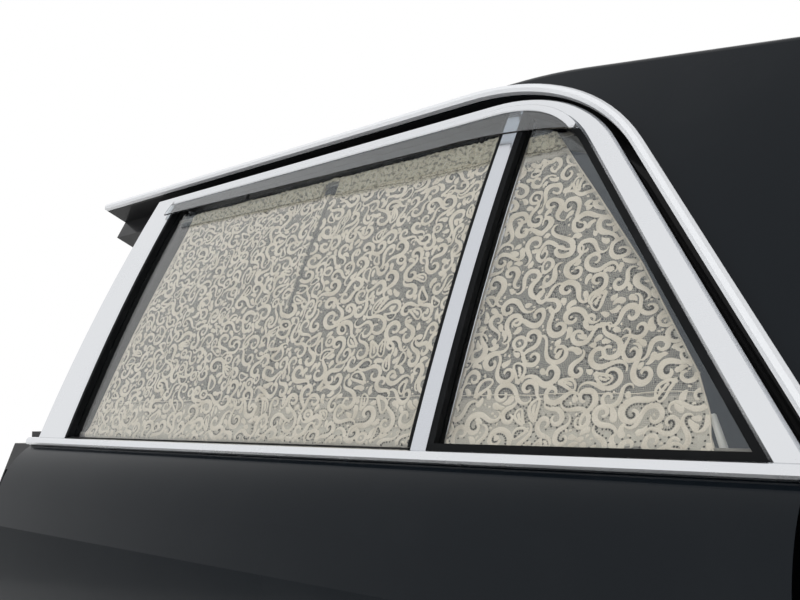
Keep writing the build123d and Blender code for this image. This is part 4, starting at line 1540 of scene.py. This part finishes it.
    def ribbon(self, draft: Draft, stroke: Stroke) -> None:
        """Lay a corded stroke on the cloth, leaving out what runs off it.

        Args:
            draft: the mesh that it goes into.
            stroke: the stroke.
        """
        keep = self.inside(stroke.line, 1.5 * MM)
        square = stroke.square()
        half = stroke.width[:, None] / 2
        strips = []
        for offset, lift in ((-1.0, self.cord_foot), (0.0, self.cord_rise), (1.0, self.cord_foot)):
            flat = stroke.line + square * half * offset
            strips.append((self.face(flat[:, 0], flat[:, 1], lift), flat))
        points, flats = (np.concatenate(part) for part in zip(*strips))
        count = len(stroke.line)
        faces = [
            (low + i, low + i + 1, low + count + i + 1, low + count + i)
            for i in range(count - 1) if keep[i] and keep[i + 1] for low in (0, count)
        ]
        if faces:
            draft.add(points, faces, flats / MM)

    def scrollwork(self) -> list[bpy.types.Object]:
        """The corded pattern and its eyelets, dark discs of painted shade.

        Returns:
            Both pieces.
        """
        low = np.array([self.front.at_belt, self.low])
        high = np.array([self.rear[0][1] + self.pattern.pitch, self.high])
        draft, holes = Draft(), Draft()
        for stroke in self.pattern.strokes(low, high):
            self.ribbon(draft, stroke)
            if stroke.eyelets:
                self.eyelets(holes, stroke)
        return [
            draft.piece(f"{self.name}_cording", thread, Slot.LACE),
            holes.piece(f"{self.name}_eyelets", eyelet_shade, Slot.LACE),
        ]

    def eyelets(self, draft: Draft, stroke: Stroke) -> None:
        """Sink a row of small eyelets beside a stroke, as dark discs painted with the shade seen through
        holes.

        Args:
            draft: the mesh that they go into.
            stroke: the stroke.
        """
        walk = walked(stroke.line)
        stops = np.arange(1.5 * MM, walk[-1] - 1.5 * MM, self.eyelet_pitch)
        beside = stroke.line + stroke.square() * (-stroke.width / 2 - self.eyelet_gap)[:, None]
        centres = np.stack([np.interp(stops, walk, beside[:, k]) for k in (0, 1)], axis=-1)
        corners = self.eyelet_corners
        turn = np.linspace(0, 2 * math.pi, corners, endpoint=False)
        for centre in centres[self.inside(centres, 2 * MM)]:
            x = centre[0] + self.eyelet_radius * np.cos(turn)
            up = centre[1] + self.eyelet_radius * np.sin(turn)
            rim = self.face(x, up, 0.3 * MM)
            middle = self.face(centre[:1], centre[1:], 0.2 * MM)
            faces = [(corners, k, (k + 1) % corners) for k in range(corners)]
            draft.add(np.concatenate([rim, middle]), faces)

    def border(self) -> bpy.types.Object:
        """Rolled edge cords down both sides and the seam along the top of the hem.

        Returns:
            The piece.
        """
        draft = Draft()
        ups = np.linspace(self.low + 3 * MM, self.high - 3 * MM, 110)
        for edge, hand in zip(self.edges(ups), (1, -1)):
            draft.tube(self.face(edge + hand * 0.6 * MM, ups, 0.2 * MM), self.edge_cord, 6)
        across = np.linspace(0.004, 0.996, 260)
        seam = np.full(len(across), self.hem_high)
        front, rear = self.edges(seam)
        draft.tube(self.face(front + (rear - front) * across, seam, 0.3 * MM), self.seam_cord, 5)
        return draft.piece(f"{self.name}_border", thread, Slot.LACE)

    def ruche(self, x: np.ndarray, up: np.ndarray) -> np.ndarray:
        """Fine gathers of the heading band.

        Args:
            x: place along the side.
            up: height above the belt.

        Returns:
            How far they carry the band outward at each place.
        """
        draw = np.random.default_rng(self.seed + 5)
        total = np.zeros(np.shape(x))
        for length, rise in self.ruches:
            phase, slant = draw.uniform(0, WAVE_TURN), draw.uniform(-self.ruche_slant, self.ruche_slant)
            total += rise * np.sin(x / (length * MM) * WAVE_TURN + phase + up * slant)
        return total * MM

    def heading(self) -> bpy.types.Object:
        """The gathered band over the top rod, with a scalloped lower edge.

        Returns:
            The piece.
        """
        front, rear = self.edges(np.array([self.high]))
        width = float(rear[0] - front[0])
        across = np.linspace(0, 1, int(width / self.heading_column))
        places = front[0] + width * across
        foot = self.heading_low(places) - 1.0 * MM
        foot[(places > self.notch[0]) & (places < self.notch[1])] = self.high - 6 * MM
        wide, deep = self.scallop
        rows, flats = [], []
        for share in np.linspace(0, 1, 15):
            scallop = deep * np.abs(np.sin(across * width / wide * math.pi)) * (1 - share) ** 2
            heights = foot - scallop + share * (self.high - foot)
            front, rear = self.edges(heights)
            x = front + (rear - front) * across
            gathered = self.ruche(x, heights) * (0.45 + 0.55 * math.sin(math.pi * share))
            rows.append(self.face(x, heights, self.heading_lift + gathered))
            flats.append(np.stack([x, heights], axis=-1) / MM)
        draft = Draft()
        draft.grid(np.array(rows), flat=np.array(flats))
        return draft.piece(f"{self.name}_heading", heading_cloth, Slot.LACE)

    def stitches(self) -> bpy.types.Object:
        """Short brown stitches that hold the heading.

        Returns:
            The piece.
        """
        draft = Draft()
        front, rear = self.edges(np.array([self.heading_edge[0][1]]))
        for k in range(1, int((rear[0] - front[0]) / self.stitch_pitch)):
            x = front[0] + k * self.stitch_pitch + np.linspace(0, self.stitch_length, 4)
            if self.notch[0] < x[1] < self.notch[1]:
                continue
            heights = self.heading_low(x) + 1.6 * MM + 0.35 * MM * np.sin(np.full(4, k * 1.7))
            lift = 1.9 * MM + self.ruche(x, heights) * 0.6
            draft.tube(self.face(x, heights, lift), self.stitch_radius, 5)
        return draft.piece(f"{self.name}_stitches", stitching, Slot.LACE)

    def build(self) -> None:
        """Make the curtain's pieces and hide its imported node."""
        cloth = self.cloth()
        extras = [*self.scrollwork(), self.border(), self.heading(), self.stitches()]
        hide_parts(self.node)


def quarter_rear() -> tuple[Pair, ...]:
    """Loose rear edge of the quarter curtain.

    Returns:
        Height and X of each of its points.
    """
    low, high = 6.5 * MM, 361.2 * MM
    points = []
    for share, off in (
        (0.0, 41), (0.05, 36), (0.1, 27), (0.2, 18), (0.3, 17), (0.5, 14.5), (0.74, 21), (0.88, 26),
        (1.0, 29),
    ):
        up = low + share * (high - low)
        points.append((up, side.pane_rear.at(up) - off * MM))
    return tuple(points)


main_curtain = Curtain(
    name="main_lace", node="main_curtain", rods=("main_top_rod", "main_bottom_rod"),
    front=Lean(-438 * MM, 0.169), rear=((6.5 * MM, 184.4 * MM), (377 * MM, 208.1 * MM)),
    low=6.5 * MM, high=374.6 * MM, top_rod=370 * MM, bottom_rod=13 * MM, flat=(0.66, 0.44), cut_area=0.28,
    folds=(
        Fold(Lean(-74 * MM, 0.033), 13 * MM, 1.7 * MM, 3.4 * MM),
        Fold(Lean(-262 * MM, 0.07), 16 * MM, 9 * MM, 1.1 * MM),
        Fold(Lean(92 * MM, 0.05), 14 * MM, 12 * MM, 0.9 * MM),
    ),
    pattern=LacePattern(seed=11), seed=4, notch=(-80 * MM, -50 * MM), crease=Lean(-72 * MM, 0.033),
    heading_edge=(
        (-365 * MM, 353 * MM), (-75 * MM, 347 * MM), (-50 * MM, 344 * MM), (90 * MM, 337.5 * MM),
        (205 * MM, 339 * MM),
    ),
)
quarter_curtain = Curtain(
    name="quarter_lace", node="quarter_curtain", rods=("quarter_top_rod", "quarter_bottom_rod"),
    front=Lean(213.6 * MM, 0.064), rear=quarter_rear(), low=6.5 * MM, high=361.2 * MM,
    top_rod=357 * MM, bottom_rod=13 * MM, flat=(0.29, 0.42), cut_area=0.078, plain_band=13 * MM,
    folds=(Fold(Lean(318 * MM, -0.1), 13 * MM, 10 * MM, 0.8 * MM),),
    pattern=LacePattern(seed=23), seed=9, heading_edge=((220 * MM, 337 * MM), (290 * MM, 338 * MM)),
)


# Window furniture


@dataclass(frozen=True)
class DeflectorFittings:
    """Bright rail along the deflector's root, dark bead on its free edge and the small clips under it.

    The clip's profile gives reach and rise of each ring in millimetres.
    """

    free_edge: tuple[Pair, ...] = (
        (-400 * MM, 364.5 * MM), (130 * MM, 354 * MM), (228 * MM, 348.5 * MM), (322 * MM, 328 * MM),
    )
    fold_up: float = 384 * MM
    fold_out: float = 3.5 * MM
    flare: float = 7.1 / 58
    bead_radius: float = 0.6 * MM
    bead_front_up: float = 365 * MM
    bead_rear: float = 303 * MM
    clips: Pair = (-209 * MM, 196 * MM)
    clip_drop: float = 3.4 * MM
    clip_sink: float = 1.0 * MM
    clip_stretch: Pair = (1.1, 1.3)
    clip_profile: tuple[Pair, ...] = (
        (1.6, -2.4), (2.9, -1.3), (3.3, -0.3), (3.1, 0.5), (2.3, 1.2), (1.2, 1.6), (0.2, 1.7),
    )
    rail_half: float = 4.3 * MM
    rail_rise: float = 2.3 * MM
    rail_stand: float = 4.6 * MM
    rail_end_up: float = 330 * MM
    rail_end_round: float = 3 * MM

    def edge_up(self, x: np.ndarray) -> np.ndarray:
        """Height of the free edge: straight, then an arc round the window's corner.

        Args:
            x: place along the side.

        Returns:
            The height at each place.
        """
        (x1, y1), (x2, y2), (x3, y3) = self.free_edge[1:]
        a = np.array([[x2 - x1, y2 - y1], [x3 - x1, y3 - y1]]) * 2
        b = np.array([x2**2 - x1**2 + y2**2 - y1**2, x3**2 - x1**2 + y3**2 - y1**2])
        cx, cy = np.linalg.solve(a, b)
        radius = math.hypot(x1 - cx, y1 - cy)
        arc = cy + np.sqrt(np.maximum(radius**2 - (x - cx) ** 2, 0.0))
        xs, ups = zip(*self.free_edge[:2])
        return np.where(x < x1, np.interp(x, xs, ups), arc)

    def edge(self, x: np.ndarray, above: float = 0.0, out: float = 0.0) -> np.ndarray:
        """Points along the free edge, at the middle of the sheet.

        Args:
            x: place along the side.
            above: distance up from the edge.
            out: distance outward from the sheet.

        Returns:
            One row of X, Y and Z for each point.
        """
        up = self.edge_up(x) + above
        return side.points(x, up, self.fold_out + self.flare * (self.fold_up - up) + out)

    def bead(self) -> bpy.types.Object:
        """The dark edge bead.

        Returns:
            The piece.
        """
        x = np.linspace(side.pane_front.at(self.bead_front_up) + 2 * MM, self.bead_rear, 90)
        draft = Draft()
        draft.tube(self.edge(x), self.bead_radius, 10)
        return draft.piece("deflector_bead", rubber, Slot.RUBBER)

    def clip(self) -> bpy.types.Object:
        """Domed clips with a neck, hooked under the edge.

        Returns:
            The piece.
        """
        draft = Draft()
        normal = np.array([0.0, -math.cos(side.lean), math.sin(side.lean)])
        along = np.array([1.0, 0.0, 0.0])
        upward = np.cross(normal, along)
        turn = np.linspace(0, 2 * math.pi, 20, endpoint=False)
        long, tall = self.clip_stretch
        for x in self.clips:
            centre = self.edge(np.array([x]), -self.clip_drop, -self.clip_sink)[0]
            rings = []
            for reach, rise in self.clip_profile:
                across = along[None] * (reach * long * MM * np.cos(turn))[:, None]
                across = across + upward[None] * (reach * tall * MM * np.sin(turn))[:, None]
                rings.append(centre + normal * rise * MM + across)
            draft.grid(np.array(rings), closed=True)
        return draft.piece("deflector_clips", rubber, Slot.RUBBER)

    def rail(self) -> bpy.types.Object:
        """The bright rail, from the pane's front corner round to its rounded rear end.

        Returns:
            The piece.
        """
        reach = side.inner_corner - self.rail_half
        centre_x, centre_up = side.corner_start, side.pane_top - side.inner_corner
        straight = np.linspace(side.pane_front.at(side.pane_top) + 3 * MM, centre_x, 60)
        last = math.asin((self.rail_end_up - centre_up) / reach)
        turn = np.linspace(math.pi / 2, last, 40)[1:]
        square_x = np.concatenate([np.zeros(len(straight)), np.cos(turn)])
        square_up = np.concatenate([np.ones(len(straight)), np.sin(turn)])
        x = np.concatenate([straight, centre_x + reach * np.cos(turn)])
        up = centre_up + reach * square_up
        walk = walked(np.stack([x, up], axis=-1))
        near = np.clip(np.minimum(walk, walk[-1] - walk) / self.rail_end_round, 0.02, 1)
        swell = np.sqrt(1 - (1 - near) ** 2)[:, None]
        section = np.linspace(0, 2 * math.pi, 16, endpoint=False)
        across = self.rail_half * swell * np.cos(section) * 0.98
        lift = self.rail_out(up)[:, None] + self.rail_rise * swell * np.sin(section)
        across_x, across_up = square_x[:, None] * across, square_up[:, None] * across
        draft = Draft()
        draft.closed_grid(side.points(x[:, None] + across_x, up[:, None] + across_up, lift))
        return draft.piece("deflector_rail", satin, Slot.SATIN)

    def rail_out(self, up: np.ndarray) -> np.ndarray:
        """How far out the middle of the rail lies at each height."""
        return self.rail_stand + self.flare * np.maximum(self.fold_up - up, 0)

    def build(self) -> None:
        """Make the bead, the clips and the rail."""
        self.bead()
        self.clip()
        self.rail()


# Fasteners


class Head(Enum):
    """Kinds of screw head."""

    HEX = "hex"
    CROSS = "cross"


@dataclass(frozen=True)
class Screw:
    """A screw head on a face: where it sits, where it points, its radius and kind.

    The six-sided head's profile gives reach and rise of each ring in radii, and how six-sided it is. Sizes
    of the domed head are in radii too.
    """

    place: Triple
    facing: Triple
    radius: float
    head: Head
    hex_profile: tuple[Triple, ...] = (
        (1.55, 0.0, 0.0), (1.55, 0.16, 0.0), (1.45, 0.22, 0.0), (1.02, 0.22, 1.0), (1.02, 0.72, 1.0),
        (0.9, 0.82, 0.6), (0.5, 0.82, 0.0), (0.42, 0.76, 0.0), (0.02, 0.76, 0.0),
    )
    dome_shares: tuple[float, ...] = (
        1.0, 0.985, 0.94, 0.85, 0.74, 0.62, 0.58, 0.5, 0.4, 0.3, 0.2, 0.12, 0.02,
    )
    dome_rise: float = 0.34
    slot_half: float = 0.11
    slot_reach: float = 0.6
    slot_depth: float = 0.22

    def laid(self, x: np.ndarray, y: np.ndarray, rise: np.ndarray) -> np.ndarray:
        """Points of the head.

        Args:
            x: first distance across it, in radii.
            y: second distance across it.
            rise: distance above the face.

        Returns:
            One row of X, Y and Z for each point.
        """
        facing = Vector(self.facing).normalized()
        across = facing.orthogonal().normalized()
        upward = facing.cross(across)
        parts = ((facing, rise), (across, x), (upward, y))
        return np.array(self.place) + sum(np.array(way) * (far * self.radius)[:, None] for way, far in parts)

    def hex_rings(self) -> list[np.ndarray]:
        """Rings of a six-sided head on its washer.

        Returns:
            The rings from the face up.
        """
        sixth = math.pi / 3
        turn = np.linspace(0, 2 * math.pi, 36, endpoint=False)
        corner = math.cos(sixth / 2) / np.cos(turn % sixth - sixth / 2)
        rings = []
        for reach, rise, shape in self.hex_profile:
            far = reach * ((1 - shape) + shape * corner)
            rings.append(self.laid(far * np.cos(turn), far * np.sin(turn), np.full(len(turn), rise)))
        return rings

    def cross_rings(self) -> list[np.ndarray]:
        """Rings of a domed head with a cross slot.

        Returns:
            The rings from the face up.
        """
        turn = np.linspace(0, 2 * math.pi, 48, endpoint=False)
        rings = []
        for share in self.dome_shares:
            x, y = share * np.cos(turn), share * np.sin(turn)
            dome = self.dome_rise * math.sqrt(max(1 - share**2, 0.0))
            slot = (np.minimum(np.abs(x), np.abs(y)) < self.slot_half) & (share < self.slot_reach)
            rings.append(self.laid(x, y, np.where(slot, dome - self.slot_depth, dome)))
        return rings

    def add_to(self, draft: Draft) -> None:
        """Add the head to a mesh."""
        draft.grid(np.array(self.hex_rings() if self.head is Head.HEX else self.cross_rings()), closed=True)


@dataclass(frozen=True)
class Fastenings:
    """Bolts of the hinges and screws of the latch, trim, handle and crank."""

    hinge_heights: Pair = (262 * MM, 566 * MM)
    leaf_pattern: tuple[Pair, ...] = ((-20 * MM, 6 * MM), (20 * MM, 6 * MM), (0.0, 13 * MM))
    leaf_plate: float = 5 * MM
    pillar_face: float = -551 * MM
    pillar_leaf_y: float = -65 * MM
    door_leaf_y: float = -77 * MM
    bolt_radius: float = 4.2 * MM
    latch_places: tuple[Pair, ...] = (
        (-90 * MM, 508 * MM), (-58 * MM, 508 * MM), (-90 * MM, 432 * MM), (-58 * MM, 432 * MM),
    )
    latch_plate: float = 5 * MM
    latch_radius: float = 3.6 * MM
    trim_count: int = 6
    trim_inset: Pair = (40 * MM, 26 * MM)
    trim_radius: float = 4.0 * MM
    handle_inset: float = 6.5 * MM
    handle_rise: float = 5 * MM
    handle_up: float = 566 * MM
    handle_radius: float = 2.6 * MM
    crank_place: Pair = (-60 * MM, 318 * MM)
    crank_rise: float = 17 * MM
    crank_radius: float = 4.4 * MM

    def hinge_bolts(self) -> None:
        """Three bolts on each leaf."""
        door_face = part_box("lower_hinge_door_leaf")[1].x - self.leaf_plate
        for name, face_x, middle_y, facing, body in (
            ("pillar_leaf_bolts", self.pillar_face, self.pillar_leaf_y, 1.0, Body.SIDE),
            ("door_leaf_bolts", door_face, self.door_leaf_y, -1.0, Body.DOOR),
        ):
            draft = Draft()
            for height in self.hinge_heights:
                for up, shift in self.leaf_pattern:
                    place = (face_x, middle_y + shift, height + up)
                    Screw(place, (facing, 0, 0), self.bolt_radius, Head.HEX).add_to(draft)
            draft.piece(name, zinc, Slot.ZINC, body, smooth=False)

    def latch_screws(self) -> None:
        """Four screws of the latch plate."""
        face_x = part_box("door_latch")[0].x + self.latch_plate
        draft = Draft()
        for y, z in self.latch_places:
            Screw((face_x, y, z), (1, 0, 0), self.latch_radius, Head.CROSS).add_to(draft)
        draft.piece("latch_screws", zinc, Slot.ZINC)

    def trim_screws(self) -> None:
        """Screws along the trim panel's lower edge and in the handle's surround."""
        low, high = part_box("trim_panel")
        across, up = self.trim_inset
        draft = Draft()
        for x in np.linspace(low.x + across, high.x - across, self.trim_count):
            Screw((float(x), high.y, low.z + up), (0, 1, 0), self.trim_radius, Head.CROSS).add_to(draft)
        front, rear = (corner.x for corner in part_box("inner_handle"))
        for x in (front + self.handle_inset, rear - self.handle_inset):
            place = (x, high.y + self.handle_rise, self.handle_up)
            Screw(place, (0, 1, 0), self.handle_radius, Head.CROSS).add_to(draft)
        draft.piece("trim_screws", bright, Slot.BRIGHT)

    def crank_screw(self) -> None:
        """Screw in the middle of the window crank."""
        x, z = self.crank_place
        place = (x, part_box("trim_panel")[1].y + self.crank_rise, z)
        draft = Draft()
        Screw(place, (0, 1, 0), self.crank_radius, Head.CROSS).add_to(draft)
        draft.piece("crank_screw", bright, Slot.BRIGHT)

    def build(self) -> None:
        """Make every set of fasteners."""
        self.hinge_bolts()
        self.latch_screws()
        self.trim_screws()
        self.crank_screw()


# Inner trim


def along_closed(points: np.ndarray, count: int) -> np.ndarray:
    """Even points along a closed line.

    Args:
        points: its corners, two numbers each.
        count: how many points.

    Returns:
        One row for each point.
    """
    closed = np.vstack([points, points[:1]])
    walk = walked(closed)
    targets = np.linspace(0, walk[-1], count, endpoint=False)
    return np.stack([np.interp(targets, walk, closed[:, axis]) for axis in (0, 1)], axis=-1)


@dataclass(frozen=True)
class ArmrestCover:
    """Padded armrest cover with a welt and a row of stitches."""

    corner: float = 20 * MM
    edge: float = 14 * MM
    crown: float = 3.0 * MM
    around: int = 96
    nose: float = 40 * MM
    nose_rise: float = 22 * MM
    grip_end: float = 160 * MM
    slack: float = 0.5 * MM
    root_inset: float = 3.5 * MM
    welt_inset: float = 7.0 * MM
    welt_back: float = 5.6 * MM
    welt_radius: float = 1.5 * MM
    stitch_inset: float = 13.0 * MM
    stitch_back: float = 2.9 * MM
    stitch_radius: float = 0.45 * MM
    stitch_span: Pair = (0.12, 0.72)

    def rounded_corners(self) -> np.ndarray:
        """The armrest's outline in X and Z with its corners rounded off.

        Returns:
            One row for each point, in order.
        """
        low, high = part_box("armrest")
        shoulder = low.z + self.nose_rise
        corners = np.array([
            (low.x, high.z), (low.x + self.nose, shoulder), (low.x + self.grip_end, low.z),
            (high.x - self.nose, low.z), (high.x, shoulder), (high.x, high.z),
        ])
        points = []
        for before, here, after in zip(np.roll(corners, 1, axis=0), corners, np.roll(corners, -1, axis=0)):
            start = here + (before - here) / np.linalg.norm(before - here) * self.corner
            end = here + (after - here) / np.linalg.norm(after - here) * self.corner
            for share in np.linspace(0, 1, 10):
                points.append((1 - share) ** 2 * start + 2 * share * (1 - share) * here + share**2 * end)
        return np.array(points)

    def outline(self, inset: float) -> np.ndarray:
        """Even points round the armrest in X and Z, moved inward.

        Args:
            inset: how far they are moved.

        Returns:
            One row for each point.
        """
        ring = along_closed(self.rounded_corners(), self.around)
        along = np.roll(ring, -1, axis=0) - np.roll(ring, 1, axis=0)
        along /= np.linalg.norm(along, axis=1)[:, None]
        inward = np.stack([-along[:, 1], along[:, 0]], axis=-1)
        inward *= np.sign(np.sum(inward * (ring.mean(axis=0) - ring), axis=1))[:, None]
        return ring + inward * inset

    def ring(self, inset: float, y: float) -> np.ndarray:
        """One ring of the cover."""
        x, z = self.outline(inset).T
        return np.stack([x, np.full(len(x), y), z], axis=-1)

    def cover(self) -> bpy.types.Object:
        """The padded cover, closed, pulled in at its root and crowned on its faces.

        Returns:
            The piece.
        """
        root, face = (corner.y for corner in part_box("armrest"))
        rows = [self.ring(self.root_inset, root + 0.2 * MM)]
        for share in np.linspace(0.04, 0.74, 9):
            pull = 2.6 * MM * math.exp(-share / 0.09) + 0.6 * MM * math.cos(share * 9)
            rows.append(self.ring(pull + 0.4 * MM, root + share * (face - root)))
        for turn in np.linspace(0.15, math.pi / 2, 7):
            inset = self.edge * (1 - math.cos(turn)) + self.slack
            rows.append(self.ring(inset, face - self.crown - self.edge * (1 - math.sin(turn))))
        base = self.ring(self.edge + self.slack, face - self.crown)
        middle = base.mean(axis=0)
        for share in (0.8, 0.6, 0.4, 0.2, 0.03):
            inner = middle + (base - middle) * share
            inner[:, 1] = face - self.crown * share**2
            rows.append(inner)
        draft = Draft()
        draft.closed_grid(np.array(rows))
        made = draft.piece("armrest_cover", vinyl, Slot.VINYL)
        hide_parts("armrest")
        return made

    def seams(self) -> None:
        """The welt round the padded face and the stitches beside it."""
        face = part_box("armrest")[1].y
        ring = self.ring(self.welt_inset, face - self.welt_back)
        cord, seams = Draft(), Draft()
        cord.tube(np.vstack([ring, ring[:2]]), self.welt_radius, 8)
        cord.piece("armrest_welt", welt, Slot.VINYL)
        line = self.ring(self.stitch_inset, face - self.stitch_back)
        first, last = self.stitch_span
        for here, after in zip(line, np.roll(line, -1, axis=0)):
            path = np.linspace(here + (after - here) * first, here + (after - here) * last, 3)
            seams.tube(path, self.stitch_radius, 5)
        seams.piece("armrest_stitches", dark_plastic, Slot.VINYL)

    def build(self) -> None:
        """Make the cover and its seams."""
        self.cover()
        self.seams()


@dataclass(frozen=True)
class PanelWelts:
    """Welts and stitch rows pressed into the inner trim panel."""

    inset: float = 26 * MM
    radius: float = 1.6 * MM
    lift: float = 0.3 * MM
    upper_foot: float = 532 * MM
    upper_gap: float = 22 * MM
    lower_head: float = 412 * MM
    lower_gap: float = 52 * MM
    corner: float = 24 * MM
    stitch_inset: float = 6 * MM
    stitch_corner: float = 19 * MM
    stitch_pitch: float = 6.5 * MM
    stitch_radius: float = 0.45 * MM

    def build(self) -> None:
        """Make a framed welt on the upper and on the lower field of the panel."""
        low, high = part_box("trim_panel")
        face = high.y + self.lift
        welts, stitches = Draft(), Draft()
        front, rear = low.x + self.inset, high.x - self.inset
        gap = self.stitch_inset
        for foot, head in (
            (self.upper_foot, high.z - self.upper_gap), (low.z + self.lower_gap, self.lower_head),
        ):
            ring = self.rounded((front, foot), (rear, head), self.corner, face)
            welts.tube(np.vstack([ring, ring[:2]]), self.radius, 8)
            low_corner, high_corner = (front + gap, foot + gap), (rear - gap, head - gap)
            self.stitch(stitches, self.rounded(low_corner, high_corner, self.stitch_corner, face))
        welts.piece("panel_welts", welt, Slot.VINYL)
        stitches.piece("panel_stitches", dark_plastic, Slot.VINYL)

    def rounded(self, low: Pair, high: Pair, radius: float, y: float) -> np.ndarray:
        """Points round a rectangle with rounded corners.

        Args:
            low: X and Z of its low corner.
            high: X and Z of its high corner.
            radius: radius of its corners.
            y: the plane that it lies in.

        Returns:
            One row of X, Y and Z for each point.
        """
        (x0, z0), (x1, z1) = (low[0] + radius, low[1] + radius), (high[0] - radius, high[1] - radius)
        points = []
        for quarter, (x, z) in enumerate(((x1, z1), (x0, z1), (x0, z0), (x1, z0))):
            for turn in np.linspace(0, math.pi / 2, 9):
                angle = quarter * math.pi / 2 + turn
                points.append((x + radius * math.cos(angle), y, z + radius * math.sin(angle)))
        return np.array(points)

    def stitch(self, draft: Draft, ring: np.ndarray) -> None:
        """Add stitches along a closed line.

        Args:
            draft: the mesh that they go into.
            ring: the line.
        """
        closed = np.vstack([ring, ring[:1]])
        walk = walked(closed)
        for k in range(int(walk[-1] / self.stitch_pitch)):
            spots = [(k + share) * self.stitch_pitch for share in (0.0, 0.3, 0.6)]
            path = np.stack([np.interp(spots, walk, closed[:, axis]) for axis in range(3)], axis=-1)
            draft.tube(path, self.stitch_radius, 5)


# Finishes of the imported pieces


@dataclass(frozen=True)
class Dressing:
    """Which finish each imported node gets, and which nodes throw no shadow."""

    finishes: tuple[tuple[Finish, tuple[str, ...]], ...] = (
        (body_paint, ("door_skin", "quarter_skin", "roof_panel")),
        (inner_paint, (
            "door_inner", "window_frame", "sill", "centre_pillar", "upper_pillar", "roof_rail", "rear_pillar",
            "lock_pillar", "opening_flange",
        )),
        (satin, ("frame_trim", "belt_moulding")),
        (bar_satin_shaded, ("division_bar",)),
        (drip_satin, ("drip_moulding",)),
        (bright, ("outer_handle", "inner_handle", "window_crank")),
        (rubber, ("glass_run", "quarter_seal", "belt_wiper", "aperture_seal")),
        (glass, ("main_glass", "quarter_glass")),
        (acrylic, ("rain_deflector",)),
        (enamel, ("main_top_rod", "main_bottom_rod", "quarter_top_rod", "quarter_bottom_rod")),
        (zinc, (
            "door_latch", "latch_striker", "lower_hinge_door_leaf", "upper_hinge_door_leaf",
            "lower_hinge_pillar_leaf", "upper_hinge_pillar_leaf",
        )),
        (vinyl, ("trim_panel", "armrest")),
        (ivory, ("lock_pin",)),
        (net, ("main_curtain", "quarter_curtain")),
    )
    shadowless: tuple[str, ...] = ("main_glass", "quarter_glass", "rain_deflector")

    def build(self) -> None:
        """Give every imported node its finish."""
        for finish, names in self.finishes:
            for name in names:
                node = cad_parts[name]
                for holder in node.material_slots:
                    holder.link = "OBJECT"
                    holder.material = finish.material()
                log.info("node %s: %s", name, finish.name)
        for name in self.shadowless:
            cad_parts[name].visible_shadow = False


def main() -> None:
    """Build every class in order."""
    logging.basicConfig(level=logging.INFO, format="%(name)s %(message)s")
    for assembly in (
        Studio(), Dressing(), main_curtain, quarter_curtain, DeflectorFittings(), Fastenings(),
        ArmrestCover(), PanelWelts(),
    ):
        assembly.build()
        log.info("built %s", type(assembly).__name__)


if __name__ == "__main__":
    main()
